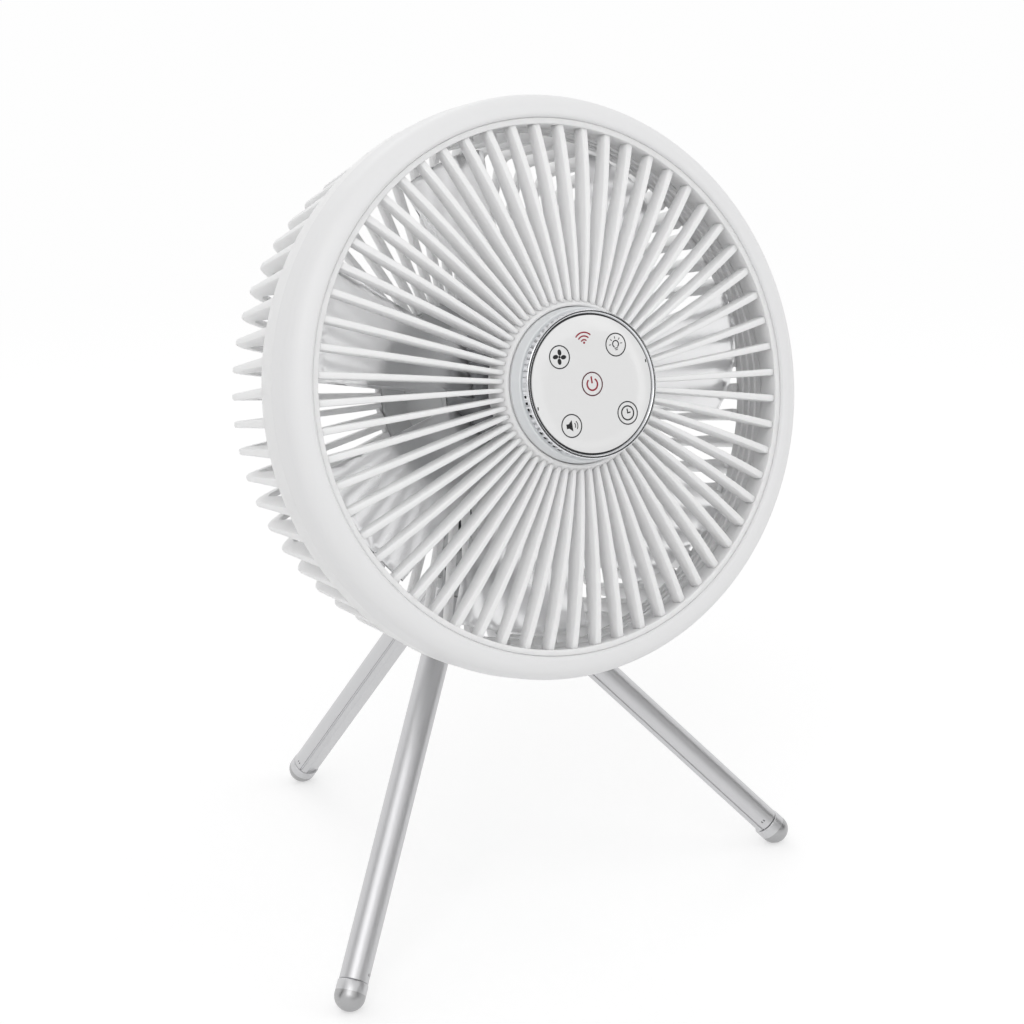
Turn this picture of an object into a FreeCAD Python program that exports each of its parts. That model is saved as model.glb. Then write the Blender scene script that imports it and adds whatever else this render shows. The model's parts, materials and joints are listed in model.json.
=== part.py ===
import FreeCAD, Part
import math
import os

# A portable camping fan on a folding three-legged stand, in mm. Z is up, the fan looks along -Y, and the
# origin is on the floor under the axis of the stand. The head is drawn on its own axis first: Z forwards
# through the fan with zero at the lip of the guard, Y up. It is then leaned back about the tilt hinge.
# A leg is drawn along Z from its hinge pin, with its flat side to X, and then spread and turned into place.
Vector = FreeCAD.Vector

# Clearances, and how far a cut runs past a face
seat_gap = 0.3
fit_gap = 0.15
hinge_play = 0.05
past = 1.0
thread_play = 0.1

# Guard opening and rim
opening_r = 94.0
lip_wall = 2.0
lip_depth = 10.0
lip_flange = 1.5
rim_band = 11.0
rim_wall = 2.0
rim_crown = 1.2
rim_inner_round = 1.5
rim_corner = 7.0
rim_back = 15.3
strip_inset = 1.0
strip_wall = 1.2
strip_overlap = 6.0
duct_depth = 26.0
web_wall = 2.0

# Fins of both grilles
fin_count = 60
fin_root = 0.8
front_fin_wall = 2.0
front_fin_chamfer = 0.65
front_fin_set_back = 1.2
front_fin_rim_depth = 5.5
front_fin_hub_depth = 8.5
front_fin_bulge = 2.4
rear_fin_wall = 2.2
rear_fin_root_wall = 3.6
rear_fin_chamfer = 0.5
rear_fin_depth = 4.5
cage_depth = 75.0
cage_taper = 7.0
cage_corner = 8.0
cage_step = 2.5
cage_inner_corner = 5.0
plate_band = 10.0
plate_wall = 3.0

# Ring, light and panel in the middle of the front grille
hub_ring_r = 31.0
hub_ring_wall = 3.0
hub_ring_depth = 10.0
hub_ring_chamfer = 0.8
hub_height = 15.0
hub_flange = 4.0
hub_flange_wall = 2.0
housing_wall = 1.6
housing_ledge = 1.6
ledge_depth = 2.3
post_r = 2.4
post_circle_r = 14.0
post_count = 3
boss_r = 2.8
boss_high = 5.0
board_wall = 1.6
led_board_band = 7.3
led_count = 12
led_size = 2.8
led_high = 0.6
led_inset = 3.3
diffuser_high = 5.2
diffuser_wall = 2.0
diffuser_taper = 0.7
bezel_high = 3.8
bezel_step = 0.7
bezel_wall = 1.8
bezel_ledge = 1.6
bezel_round = 0.5
panel_wall = 1.6
panel_recess = 0.3
sound_slot_pitch = 2.3
sound_slot_wide = 1.0
sound_slot_high = 1.5
sound_slot_deep = 0.7
sound_slots = ((188.0, 4), (221.0, 5))

# Motor
shaft_r = 2.0
bearing_r = 6.5
bearing_wide = 5.0
bearing_ring = 1.4
bearing_tube_wall = 2.0
stator_r = 17.0
stator_core_r = 11.0
stator_high = 14.0
stator_room = 2.3
pole_count = 9
pole_neck = 3.6
pole_shoe = 2.2
pole_gap = 2.0
coil_wall = 1.6
coil_gap = 0.5
air_gap = 0.6
magnet_wall = 2.0
can_wall = 1.2
can_boss_r = 4.2
base_gap = 3.0
base_wall = 3.0

# Impeller
blade_count = 7
blade_gap = 3.0
blade_wall = 1.8
blade_set_back = 1.0
blade_root_deep = 6.0
blade_root_chord = 26.0
blade_root_pitch = 42.0
blade_tip_chord = 50.0
blade_tip_pitch = 22.0
blade_camber = 0.09
blade_stations = 4
impeller_hub_room = 6.2
impeller_hub_wall = 2.0
impeller_front = -9.0
impeller_high = 25.0
impeller_foot = 2.0
impeller_round = 3.0
impeller_rib_count = 7
impeller_rib_wall = 1.6
spinner_r = 5.5
spinner_high = 5.0
spinner_round = 2.5
spinner_cap = 1.0

# Pod behind the motor, with the cells
pod_wall = 2.0
pod_end_room = 6.5
pod_flange_inset = 1.0
pod_flange_wall = 2.2
cell_r = 9.0
cell_long = 35.0
cell_count = 4
cell_gap = 0.6
cell_room = 1.85
spacer_wall = 1.2
cover_wall = 2.2
cover_chamfer = 1.0
cover_boss_r = 2.6
cover_boss_sink = 0.6
socket_wide = 9.0
socket_thick = 3.2
socket_wall = 0.35

# Tilt hinge and neck
tilt_open = 15.0
hinge_behind_cage = 15.0
hinge_drop = 50.0
neck_wide = 16.0
neck_thick = 10.5
neck_behind_cage = 3.0
neck_clear = 8.2
neck_shoulder = 2.0
neck_cup = 6.0
tongue_wide = 9.0
knuckle_r = 6.5
knuckle_room = 0.5
tilt_bolt_r = 2.5
tilt_head_r = 4.2
tilt_head_high = 2.8
washer_r = 5.0
washer_wall = 0.5
washer_gap = 0.2
ear_wall = 4.4
neck_pad_wide = 15.0
neck_pad_wall = 1.2
neck_screw_apart = 9.0
neck_screw_behind = 3.2
neck_screw_long = 11.0

# Stand. The legs stand turned by a few degrees against the head.
stand_turn = 8.0
hub_r = 11.6
hub_edge = 0.6
hub_bore_roof = 1.0
leg_hub_above = 5.5
leg_hub_below = 6.5
hinge_rise = 18.0
leg_pivot_r = 9.0
leg_reach = 168.0
leg_spread = 42.7
leg_pin_r = 1.5
leg_tongue_wide = 6.4
leg_tongue_r = 3.4
slot_play = 0.3
collar_start = 8.0
collar_wall = 2.0
leg_r = 5.5
leg_wall = 1.2
leg_flat = 4.6
leg_groove_at = 62.0
leg_groove_wide = 0.9
leg_groove_deep = 0.45
plug_long = 10.0
plug_gap = 0.2
foot_r = 5.8
foot_skirt = 5.0
foot_pin_r = 0.9
foot_pin_above = 3.5
legs = {
    "front_left": stand_turn - 150.0,
    "front_right": stand_turn - 30.0,
    "rear": stand_turn + 90.0,
}

# Fasteners. A set of screws is its circle, how many and the angle of the first.
small_screw_r = 1.25
small_head_r = 2.1
small_head_high = 1.2
screw_r = 1.5
head_r = 2.6
head_high = 1.8
hub_screw_r = 2.0
hub_head_r = 3.5
hub_head_high = 2.4
nut_flange = 0.4
rim_boss_r = 2.4
rim_screw_count = 6
rim_screw_turn = 33.0
rim_screw_long = 11.0
control_screw_count = 3
control_screw_turn = 30.0
control_screw_long = 6.0
housing_screw_count = 4
housing_screw_turn = 45.0
housing_screw_long = 5.0
base_screw_inset = 3.0
base_screw_count = 3
base_screw_turn = 90.0
base_screw_long = 4.6
cover_screw_turn = 45.0
cover_screw_long = 9.0

# Places on the head's own axis that follow from the sizes above
lip_r = opening_r + lip_wall
rim_r = opening_r + rim_band
rim_in_r = lip_r + seat_gap
strip_r = rim_r - strip_inset
strip_in_r = rim_r - rim_wall - seat_gap - strip_wall
web_front = -(duct_depth - web_wall)
rim_screw_circle = (lip_r + strip_in_r) / 2
cage_inner_r = opening_r - cage_step
hub_bore_r = hub_ring_r - hub_ring_wall
hub_back = hub_height - hub_ring_depth
control_screw_circle = hub_bore_r - hub_flange / 2
housing_r = hub_bore_r - seat_gap
housing_back = hub_back + hub_flange_wall + seat_gap
led_board_r = housing_r - housing_wall - seat_gap
led_board_bore_r = led_board_r - led_board_band
led_circle_r = led_board_r - led_inset
led_board_back = hub_height - ledge_depth + seat_gap
diffuser_back = hub_height + seat_gap
diffuser_front = diffuser_back + diffuser_high
diffuser_r = hub_bore_r - seat_gap
bezel_back = diffuser_front + seat_gap
bezel_front = bezel_back + bezel_high
bezel_r = diffuser_r - diffuser_taper - bezel_step
panel_r = bezel_r - bezel_wall - fit_gap
panel_front = bezel_front - panel_recess
panel_back = panel_front - panel_wall
touch_board_back = panel_back - seat_gap - board_wall
bearing_tube_r = bearing_r + bearing_tube_wall
magnet_in_r = stator_r + air_gap
magnet_out_r = magnet_in_r + magnet_wall
can_r = magnet_out_r + can_wall
impeller_hub_r = can_r + impeller_hub_room
impeller_back = impeller_front - impeller_high
impeller_roof = impeller_front - impeller_hub_wall
can_front = impeller_roof - seat_gap
stator_front = can_front - 2 * can_wall - stator_room
stator_back = stator_front - stator_high
blade_root_at = impeller_hub_r - blade_root_deep
blade_tip_r = cage_inner_r - blade_gap
blade_middle = (impeller_front + impeller_back) / 2 - blade_set_back
base_front = impeller_back - base_gap
base_back = base_front - base_wall
pod_front = base_back - seat_gap
spacer_front = pod_front - pod_wall - seat_gap
cell_front = spacer_front - spacer_wall - seat_gap
cell_back = cell_front - cell_long
rear_spacer_front = cell_back - seat_gap
charge_board_front = rear_spacer_front - spacer_wall - seat_gap
charge_board_back = charge_board_front - board_wall
pod_back = charge_board_back - pod_end_room
cover_front = pod_back - seat_gap
cover_back = cover_front - cover_wall
cell_circle = (cell_r + cell_gap / 2) * math.sqrt(2)
pod_r = cell_circle + cell_r + cell_room + pod_wall
plate_r = pod_r + plate_band
pod_flange_r = plate_r - pod_flange_inset
base_screw_circle_r = pod_r - base_screw_inset
cover_screw_circle = pod_r - pod_wall - cover_boss_r + cover_boss_sink
housing_screw_circle = (pod_r + plate_r) / 2
plate_front = -(cage_depth - plate_wall)
hinge_back = cage_depth + hinge_behind_cage
neck_front = -(cage_depth + neck_behind_cage)
neck_back = neck_front - neck_thick
neck_screw_at = pod_back + neck_screw_behind

# Places in the stand that follow from the sizes above
spread = math.radians(leg_spread)
pivot_z = foot_r + leg_reach * math.cos(spread)
hinge_z = pivot_z + hinge_rise
ear_inside = tongue_wide / 2 + washer_wall + 2 * washer_gap
ear_outside = ear_inside + ear_wall
hub_top_back = pivot_z + leg_hub_above + seat_gap
hub_top_front = hinge_z - knuckle_r - knuckle_room
hub_bore_end = hub_top_front - hub_bore_roof
plug_r = leg_flat - leg_wall - plug_gap
tube_start = collar_start + collar_wall + fit_gap
tube_end = leg_reach - foot_skirt - fit_gap


# Drawing helpers

def outline(start, steps, place):
    """A flat face. A step is a point for a line, or two points for an arc through the first to the second."""
    edges = []
    here = start
    for step in steps + (start,):
        if isinstance(step[0], tuple):
            middle, there = step
            edges.append(Part.Arc(place(here), place(middle), place(there)).toShape())
        else:
            there = step
            if math.dist(here, there) > 1e-6:
                edges.append(Part.makeLine(place(here), place(there)))
        here = there
    return Part.Face(Part.Wire(edges))


def lathe(start, *steps):
    """A turned piece from its outline in radius and height."""
    face = outline(start, steps, lambda p: Vector(p[0], 0, p[1]))
    return face.revolve(Vector(), Vector(0, 0, 1), 360)


def fin(start, *steps, wall):
    """A plate that stands on the axis, from its outline in radius and height, half its wall to each side."""
    face = outline(start, steps, lambda p: Vector(p[0], -wall / 2, p[1]))
    return face.extrude(Vector(0, wall, 0))


def across(start, *steps, wide):
    """A piece with one outline in Y and Z, half its width to each side."""
    face = outline(start, steps, lambda p: Vector(-wide / 2, p[0], p[1]))
    return face.extrude(Vector(wide, 0, 0))


def upright(start, *steps, low, high):
    """A piece with one outline in X and Y."""
    face = outline(start, steps, lambda p: Vector(p[0], p[1], low))
    return face.extrude(Vector(0, 0, high - low))


def rod(radius, low, high, x=0.0, y=0.0):
    return Part.makeCylinder(radius, high - low, Vector(x, y, low))


def cross_rod(radius, low, high, y=0.0, z=0.0):
    return Part.makeCylinder(radius, high - low, Vector(low, y, z), Vector(1, 0, 0))


def tube(outer, inner, low, high):
    return rod(outer, low, high).cut(rod(inner, low - past, high + past))


def block(x_low, x_high, y_low, y_high, z_low, z_high):
    return Part.makeBox(x_high - x_low, y_high - y_low, z_high - z_low, Vector(x_low, y_low, z_low))


def around(shape, count, first=0.0):
    copies = []
    for i in range(count):
        copy = shape.copy()
        copy.rotate(Vector(), Vector(0, 0, 1), first + 360.0 * i / count)
        copies.append(copy)
    return copies


def ring_of(shape, circle_r, count, first=0.0):
    """Copies of a shape drawn on the axis, spaced round a circle."""
    copy = shape.copy()
    copy.translate(Vector(circle_r, 0, 0))
    return around(copy, count, first)


def arc_point(centre, radius, degrees):
    a = math.radians(degrees)
    return (centre[0] + radius * math.cos(a), centre[1] + radius * math.sin(a))


def screw(shank_r, cap_r, cap_high, length, under_head, points_up):
    """A screw on the axis with the underside of its head at the height given."""
    way = 1 if points_up else -1
    low, high = sorted((under_head, under_head + way * length))
    cap_low, cap_high_at = sorted((under_head, under_head - way * cap_high))
    return rod(shank_r, low, high).fuse(rod(cap_r, cap_low, cap_high_at)).removeSplitter()


# Fan head: rim and grilles

def rim_ring():
    corner = (rim_r - rim_corner, rim_crown - rim_corner)
    inner_round = (rim_in_r + rim_inner_round, rim_crown - rim_inner_round)
    under = rim_crown - rim_wall
    lip_back = -(lip_depth - lip_flange - seat_gap)
    ring = lathe(
        (rim_in_r, lip_back),
        (rim_in_r, inner_round[1]),
        (arc_point(inner_round, rim_inner_round, 135), (inner_round[0], rim_crown)),
        (corner[0], rim_crown),
        (arc_point(corner, rim_corner, 45), (rim_r, corner[1])),
        (rim_r, -rim_back),
        (rim_r - rim_wall, -rim_back),
        (rim_r - rim_wall, corner[1]),
        (arc_point(corner, rim_corner - rim_wall, 45), (corner[0], under)),
        (rim_in_r + rim_wall, under),
        (rim_in_r + rim_wall, lip_back),
    )
    boss = rod(rim_boss_r, web_front + seat_gap, under + rim_wall / 4)
    pilot = rod(small_screw_r + thread_play, web_front, rim_screw_long - duct_depth + seat_gap)
    ring = ring.multiFuse(ring_of(boss, rim_screw_circle, rim_screw_count, rim_screw_turn))
    return ring.cut(ring_of(pilot, rim_screw_circle, rim_screw_count, rim_screw_turn))


def front_fin():
    """One fin of the guard: its outer edge swells forwards between the lip and the ring, its back follows."""
    outer = opening_r + fin_root
    inner = hub_ring_r - fin_root
    middle = (outer + inner) / 2
    rim_front = -front_fin_set_back
    hub_front = hub_height - front_fin_set_back
    middle_front = (rim_front + hub_front) / 2 + front_fin_bulge
    plate = fin(
        (outer, rim_front - front_fin_rim_depth),
        (outer, rim_front),
        ((middle, middle_front), (inner, hub_front)),
        (inner, hub_front - front_fin_hub_depth),
        ((middle, middle_front - front_fin_hub_depth), (outer, rim_front - front_fin_rim_depth)),
        wall=front_fin_wall,
    )
    ahead = middle_front - front_fin_hub_depth / 2
    long_edges = [e for e in plate.Edges if e.Length > (outer - inner) / 2]
    return plate.makeChamfer(front_fin_chamfer, [e for e in long_edges if e.CenterOfMass.z > ahead])


def front_grille():
    lip = lathe(
        (opening_r, -lip_depth),
        (opening_r, -hub_ring_chamfer / 2),
        (opening_r + hub_ring_chamfer / 2, 0.0),
        (lip_r, 0.0),
        (lip_r, lip_flange - lip_depth),
        (lip_r + lip_flange, lip_flange - lip_depth),
        (lip_r + lip_flange, -lip_depth),
    )
    hub = lathe(
        (hub_bore_r, hub_height),
        (hub_ring_r - hub_ring_chamfer, hub_height),
        (hub_ring_r, hub_height - hub_ring_chamfer),
        (hub_ring_r, hub_back),
        (hub_bore_r - hub_flange, hub_back),
        (hub_bore_r - hub_flange, hub_back + hub_flange_wall),
        (hub_bore_r, hub_back + hub_flange_wall),
    )
    notch = rod(rim_boss_r + seat_gap, -lip_depth - past, lip_flange - lip_depth + past)
    hole = rod(screw_r + thread_play, hub_back - past, hub_back + hub_flange_wall + past)
    lip = lip.cut(ring_of(notch, rim_screw_circle, rim_screw_count, rim_screw_turn))
    hub = hub.cut(ring_of(hole, control_screw_circle, control_screw_count, control_screw_turn))
    return lip.multiFuse([hub] + around(front_fin(), fin_count))


def rear_fin():
    """One bent fin: down the side of the cage with a slight taper, round its corner and in to the plate.
    Its wall thins towards the back."""
    root = -(duct_depth - fin_root)
    side_r = strip_r - rear_fin_chamfer
    corner = (side_r - cage_taper - cage_corner, cage_corner - cage_depth)
    slope = math.degrees(math.atan2(cage_taper, cage_depth - cage_corner - duct_depth))
    inside = rear_fin_depth - cage_depth
    inner = (cage_inner_r - cage_inner_corner, inside + cage_inner_corner)
    plate = fin(
        (cage_inner_r, root),
        (side_r, root),
        arc_point(corner, cage_corner, -slope),
        (arc_point(corner, cage_corner, -45), (corner[0], -cage_depth)),
        (plate_r - fin_root, -cage_depth),
        (plate_r - fin_root, inside),
        (inner[0], inside),
        (arc_point(inner, cage_inner_corner, -45), (cage_inner_r, inner[1])),
        wall=rear_fin_root_wall,
    )
    draft = across(
        (-rear_fin_root_wall / 2, root),
        (rear_fin_root_wall / 2, root),
        (rear_fin_wall / 2, -cage_depth),
        (-rear_fin_wall / 2, -cage_depth),
        wide=2 * rim_r,
    )
    plate = plate.common(draft)
    return plate.makeChamfer(rear_fin_chamfer, [e for e in plate.Edges if is_outside(e, corner)])


def is_outside(edge, corner):
    """The two edges along the taper and the two round the corner, on the outside of the bend."""
    centre = edge.CenterOfMass
    lengthwise = edge.BoundBox.YLength < edge.Length / 4
    side = edge.BoundBox.ZLength > cage_corner and centre.x > (cage_inner_r + corner[0]) / 2 + cage_corner / 2
    from_corner = math.dist((centre.x, centre.z), corner)
    bend = centre.z < corner[1] and centre.x > corner[0] and from_corner > cage_corner - rear_fin_depth / 2
    return lengthwise and (side or bend)


def rear_grille():
    collar = lathe(
        (opening_r, -(lip_depth + seat_gap)),
        (lip_r, -(lip_depth + seat_gap)),
        (lip_r, web_front),
        (strip_in_r, web_front),
        (strip_in_r, strip_overlap - rim_back),
        (strip_in_r + strip_wall, strip_overlap - rim_back),
        (strip_in_r + strip_wall, -(rim_back + seat_gap)),
        (strip_r, -(rim_back + seat_gap)),
        (strip_r, -duct_depth),
        (opening_r, -duct_depth),
    )
    plate = tube(plate_r, pod_r + seat_gap, -cage_depth, plate_front)
    hole = rod(small_screw_r + thread_play, -duct_depth - past, web_front + past)
    pocket = rod(small_head_r + seat_gap, -duct_depth - small_head_high - seat_gap, -duct_depth)
    plate_hole = rod(screw_r + thread_play, -cage_depth - past, plate_front + past)
    grille = collar.multiFuse([plate] + around(rear_fin(), fin_count, 180.0 / fin_count))
    grille = grille.cut(ring_of(hole.fuse(pocket), rim_screw_circle, rim_screw_count, rim_screw_turn))
    return grille.cut(ring_of(plate_hole, housing_screw_circle, housing_screw_count, housing_screw_turn))


def rim_screws():
    one = screw(small_screw_r, small_head_r, small_head_high, rim_screw_long, -duct_depth, True)
    return Part.makeCompound(ring_of(one, rim_screw_circle, rim_screw_count, rim_screw_turn))


# Fan head: light and panel

def control_housing():
    floor = housing_back + housing_wall
    ledge = hub_height - ledge_depth
    cup = lathe(
        (0, housing_back),
        (housing_r, housing_back),
        (housing_r, hub_height),
        (housing_r - housing_wall, hub_height),
        (housing_r - housing_wall, ledge),
        (housing_r - housing_wall - housing_ledge, ledge),
        (housing_r - housing_wall - housing_ledge, floor),
        (0, floor),
    )
    post = rod(post_r, floor - fit_gap, touch_board_back - seat_gap)
    boss = rod(boss_r, housing_back, housing_back + boss_high, control_screw_circle - boss_r / 2)
    pilot = rod(screw_r + thread_play, housing_back - past, housing_back + boss_high - past)
    posts = ring_of(post, post_circle_r, post_count)
    bosses = around(boss, control_screw_count, control_screw_turn)
    cup = cup.multiFuse(posts + bosses)
    return cup.cut(ring_of(pilot, control_screw_circle, control_screw_count, control_screw_turn))


def control_screws():
    one = screw(screw_r, small_head_r, small_head_high, control_screw_long, hub_back, True)
    return Part.makeCompound(ring_of(one, control_screw_circle, control_screw_count, control_screw_turn))


def led_board():
    outer = housing_r - housing_wall - seat_gap
    return tube(outer, led_board_bore_r, led_board_back, led_board_back + board_wall)


def led_chips():
    top = led_board_back + board_wall
    half = led_size / 2
    one = block(-half, half, -half, half, top, top + led_high)
    return Part.makeCompound(ring_of(one, led_circle_r, led_count))


def diffuser_ring():
    inner = diffuser_r - diffuser_wall
    return lathe(
        (inner, diffuser_back),
        (diffuser_r, diffuser_back),
        (diffuser_r - diffuser_taper, diffuser_front),
        (inner - diffuser_taper, diffuser_front),
    )


def chrome_bezel():
    inner = bezel_r - bezel_wall
    ledge = panel_back - seat_gap
    edge = (bezel_r - bezel_round, bezel_front - bezel_round)
    ring = lathe(
        (inner - bezel_ledge, bezel_back),
        (bezel_r, bezel_back),
        (bezel_r, edge[1]),
        (arc_point(edge, bezel_round, 45), (edge[0], bezel_front)),
        (inner + bezel_round, bezel_front),
        (inner, bezel_front - bezel_round),
        (inner, ledge),
        (inner - bezel_ledge, ledge),
    )
    slots = []
    for middle, count in sound_slots:
        step = math.degrees(sound_slot_pitch / bezel_r)
        slots += [sound_slot(middle + step * (i - (count - 1) / 2)) for i in range(count)]
    return ring.cut(slots)


def sound_slot(degrees):
    low = bezel_back + (bezel_high - bezel_round - sound_slot_high) / 2
    half = sound_slot_wide / 2
    slot = block(bezel_r - sound_slot_deep, bezel_r + past, -half, half, low, low + sound_slot_high)
    slot.rotate(Vector(), Vector(0, 0, 1), degrees)
    return slot


def touch_panel():
    return rod(panel_r, panel_back, panel_front)


def touch_board():
    outer = bezel_r - bezel_wall - bezel_ledge - seat_gap
    return rod(outer, touch_board_back, touch_board_back + board_wall)


# Fan head: motor

def motor_base():
    tube_front = stator_front
    base = lathe(
        (bearing_r + fit_gap / 5, tube_front),
        (bearing_tube_r, tube_front),
        (bearing_tube_r, base_front),
        (pod_r, base_front),
        (pod_r, base_back),
        (bearing_r + fit_gap / 5, base_back),
        (bearing_r + fit_gap / 5, base_back + bearing_wide),
        (bearing_r - bearing_ring, base_back + bearing_wide),
        (bearing_r - bearing_ring, tube_front - bearing_wide),
        (bearing_r + fit_gap / 5, tube_front - bearing_wide),
    )
    hole = rod(screw_r + thread_play, base_back - past, base_front + past)
    return base.cut(ring_of(hole, base_screw_circle_r, base_screw_count, base_screw_turn))


def base_screws():
    one = screw(screw_r, head_r - fit_gap, head_high, base_screw_long, base_front, False)
    return Part.makeCompound(ring_of(one, base_screw_circle_r, base_screw_count, base_screw_turn))


def motor_board():
    outer = base_screw_circle_r - head_r - 2 * seat_gap
    return tube(outer, bearing_tube_r + seat_gap, base_front + seat_gap, base_front + seat_gap + board_wall)


def stator_core():
    core = tube(stator_core_r, bearing_tube_r + fit_gap, stator_back, stator_front)
    shoes = tube(stator_r, stator_r - pole_shoe, stator_back, stator_front)
    half = pole_neck / 2
    neck_in, neck_out = stator_core_r - pole_shoe / 2, stator_r - pole_shoe / 2
    neck = block(neck_in, neck_out, -half, half, stator_back, stator_front)
    half = pole_gap / 2
    gap = block(stator_core_r, stator_r + past, -half, half, stator_back - past, stator_front + past)
    shoes = shoes.cut(around(gap, pole_count, 180.0 / pole_count))
    return core.multiFuse([shoes] + around(neck, pole_count)).removeSplitter()


def stator_coils():
    """One winding round the neck of each pole, as wide as the room between two poles allows."""
    inner = stator_core_r + fit_gap
    outer = stator_r - pole_shoe - fit_gap
    half = inner * math.tan(math.pi / pole_count) - coil_gap
    low = stator_back - coil_wall
    high = stator_front + coil_wall
    neck_half = (pole_neck + fit_gap) / 2
    coil = block(inner, outer, -half, half, low, high).common(rod(outer, low, high))
    window = block(0, stator_r, -neck_half, neck_half, stator_back - fit_gap / 2, stator_front + fit_gap / 2)
    return Part.makeCompound(around(coil.cut(window), pole_count))


def motor_bearings():
    lows = (base_back, stator_front - bearing_wide)
    return Part.makeCompound([tube(bearing_r, shaft_r + hinge_play, low, low + bearing_wide) for low in lows])


# Impeller

def blade_section(at):
    """The blade's outline in the flat at one distance from the axis: a thin plate bent along its chord."""
    share = (at - blade_root_at) / (blade_tip_r - blade_root_at)
    chord = blade_root_chord + share * (blade_tip_chord - blade_root_chord)
    pitch = math.radians(blade_root_pitch + share * (blade_tip_pitch - blade_root_pitch))
    half = chord / 2
    bend = chord * blade_camber
    wall = blade_wall / 2

    def place(along, up):
        y = along * math.cos(pitch) - up * math.sin(pitch)
        z = along * math.sin(pitch) + up * math.cos(pitch)
        return Vector(at, y, z + blade_middle)

    corners = [place(-half, -wall), place(-half, wall), place(half, wall), place(half, -wall)]
    edges = [
        Part.makeLine(corners[0], corners[1]),
        Part.Arc(corners[1], place(0, bend + wall), corners[2]).toShape(),
        Part.makeLine(corners[2], corners[3]),
        Part.Arc(corners[3], place(0, bend - wall), corners[0]).toShape(),
    ]
    return Part.Wire(edges)


def blade():
    step = (blade_tip_r + past - blade_root_at) / (blade_stations - 1)
    sections = [blade_section(blade_root_at + step * i) for i in range(blade_stations)]
    body = Part.makeLoft(sections, True, False)
    low = blade_middle - blade_tip_chord
    high = blade_middle + blade_tip_chord
    reach = rod(blade_tip_r, low, high)
    core = rod(impeller_hub_r - impeller_hub_wall / 2, low, high)
    return body.common(reach).cut(core)


def impeller():
    collar_r = can_r + fit_gap
    collar_out_r = collar_r + impeller_hub_wall / 2
    foot = impeller_back + impeller_foot
    shoulder = (impeller_hub_r - impeller_round, impeller_front - impeller_round)
    cup = lathe(
        (shaft_r + hinge_play, impeller_front),
        (shoulder[0], impeller_front),
        (arc_point(shoulder, impeller_round, 45), (impeller_hub_r, shoulder[1])),
        (impeller_hub_r, impeller_back),
        (impeller_hub_r - impeller_hub_wall, impeller_back),
        (impeller_hub_r - impeller_hub_wall, impeller_roof),
        (collar_out_r, impeller_roof),
        (collar_out_r, foot),
        (collar_r, foot),
        (collar_r, impeller_roof),
        (shaft_r + hinge_play, impeller_roof),
    )
    half = impeller_rib_wall / 2
    rib = block(collar_r + fit_gap, impeller_hub_r - fit_gap, -half, half, foot, impeller_roof + fit_gap)
    return cup.multiFuse(around(rib, impeller_rib_count) + around(blade(), blade_count))


def rotor_can():
    return lathe(
        (shaft_r + hinge_play, can_front),
        (can_r, can_front),
        (can_r, stator_back),
        (magnet_out_r + fit_gap / 5, stator_back),
        (magnet_out_r + fit_gap / 5, can_front - can_wall),
        (can_boss_r, can_front - can_wall),
        (can_boss_r, can_front - 2 * can_wall),
        (shaft_r + hinge_play, can_front - 2 * can_wall),
    )


def rotor_magnet():
    return tube(magnet_out_r, magnet_in_r, stator_back, stator_front)


def motor_shaft():
    return rod(shaft_r, base_back, impeller_front + spinner_high - spinner_cap)


def impeller_nut():
    """A rounded cap on the end of the shaft."""
    bore = shaft_r + hinge_play
    foot = impeller_front + seat_gap
    top = foot + spinner_high
    round_centre = (spinner_r - spinner_round, top - spinner_round)
    return lathe(
        (bore, foot),
        (spinner_r, foot),
        (spinner_r, round_centre[1]),
        (arc_point(round_centre, spinner_round, 45), (round_centre[0], top)),
        (0, top),
        (0, top - spinner_cap),
        (bore, top - spinner_cap),
    )


# Fan head: pod

def battery_housing():
    inner = pod_r - pod_wall
    flange_front = plate_front + seat_gap + pod_flange_wall
    shell = lathe(
        (0, pod_front),
        (pod_r, pod_front),
        (pod_r, flange_front),
        (pod_flange_r, flange_front),
        (pod_flange_r, plate_front + seat_gap),
        (pod_r, plate_front + seat_gap),
        (pod_r, pod_back),
        (inner, pod_back),
        (inner, pod_front - pod_wall),
        (0, pod_front - pod_wall),
    )
    boss = rod(cover_boss_r, pod_back, pod_front - pod_wall / 2)
    pilot = rod(small_screw_r + thread_play, pod_back - past, pod_back + cover_screw_long)
    flange_hole = rod(screw_r + thread_play, plate_front, flange_front + past)
    front_hole = rod(screw_r + thread_play, pod_front - pod_wall - past, pod_front + past)
    half = neck_pad_wide / 2
    pad = block(-half, half, -pod_r + fit_gap, neck_pad_wall - inner, pod_back, charge_board_back - seat_gap)
    pad = pad.common(rod(pod_r, pod_back, pod_front))
    shell = shell.multiFuse(ring_of(boss, cover_screw_circle, cell_count, cover_screw_turn) + [pad])
    shell = shell.cut(ring_of(pilot, cover_screw_circle, cell_count, cover_screw_turn))
    shell = shell.cut(ring_of(flange_hole, housing_screw_circle, housing_screw_count, housing_screw_turn))
    shell = shell.cut(ring_of(front_hole, base_screw_circle_r, base_screw_count, base_screw_turn))
    return shell.cut([neck_screw_hole(x) for x in neck_screw_places()])


def neck_screw_places():
    return (-neck_screw_apart / 2, neck_screw_apart / 2)


def neck_screw_hole(x):
    start = Vector(x, neck_pad_wall - pod_r + pod_wall + past, neck_screw_at)
    return Part.makeCylinder(screw_r + thread_play, neck_screw_long + 2 * past, start, Vector(0, -1, 0))


def neck_screws():
    seat = neck_pad_wall - pod_r + pod_wall
    group = []
    for x in neck_screw_places():
        one = screw(screw_r, small_head_r, small_head_high, neck_screw_long, 0.0, False)
        one.rotate(Vector(), Vector(1, 0, 0), -90)
        one.translate(Vector(x, seat, neck_screw_at))
        group.append(one)
    return Part.makeCompound(group)


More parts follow.
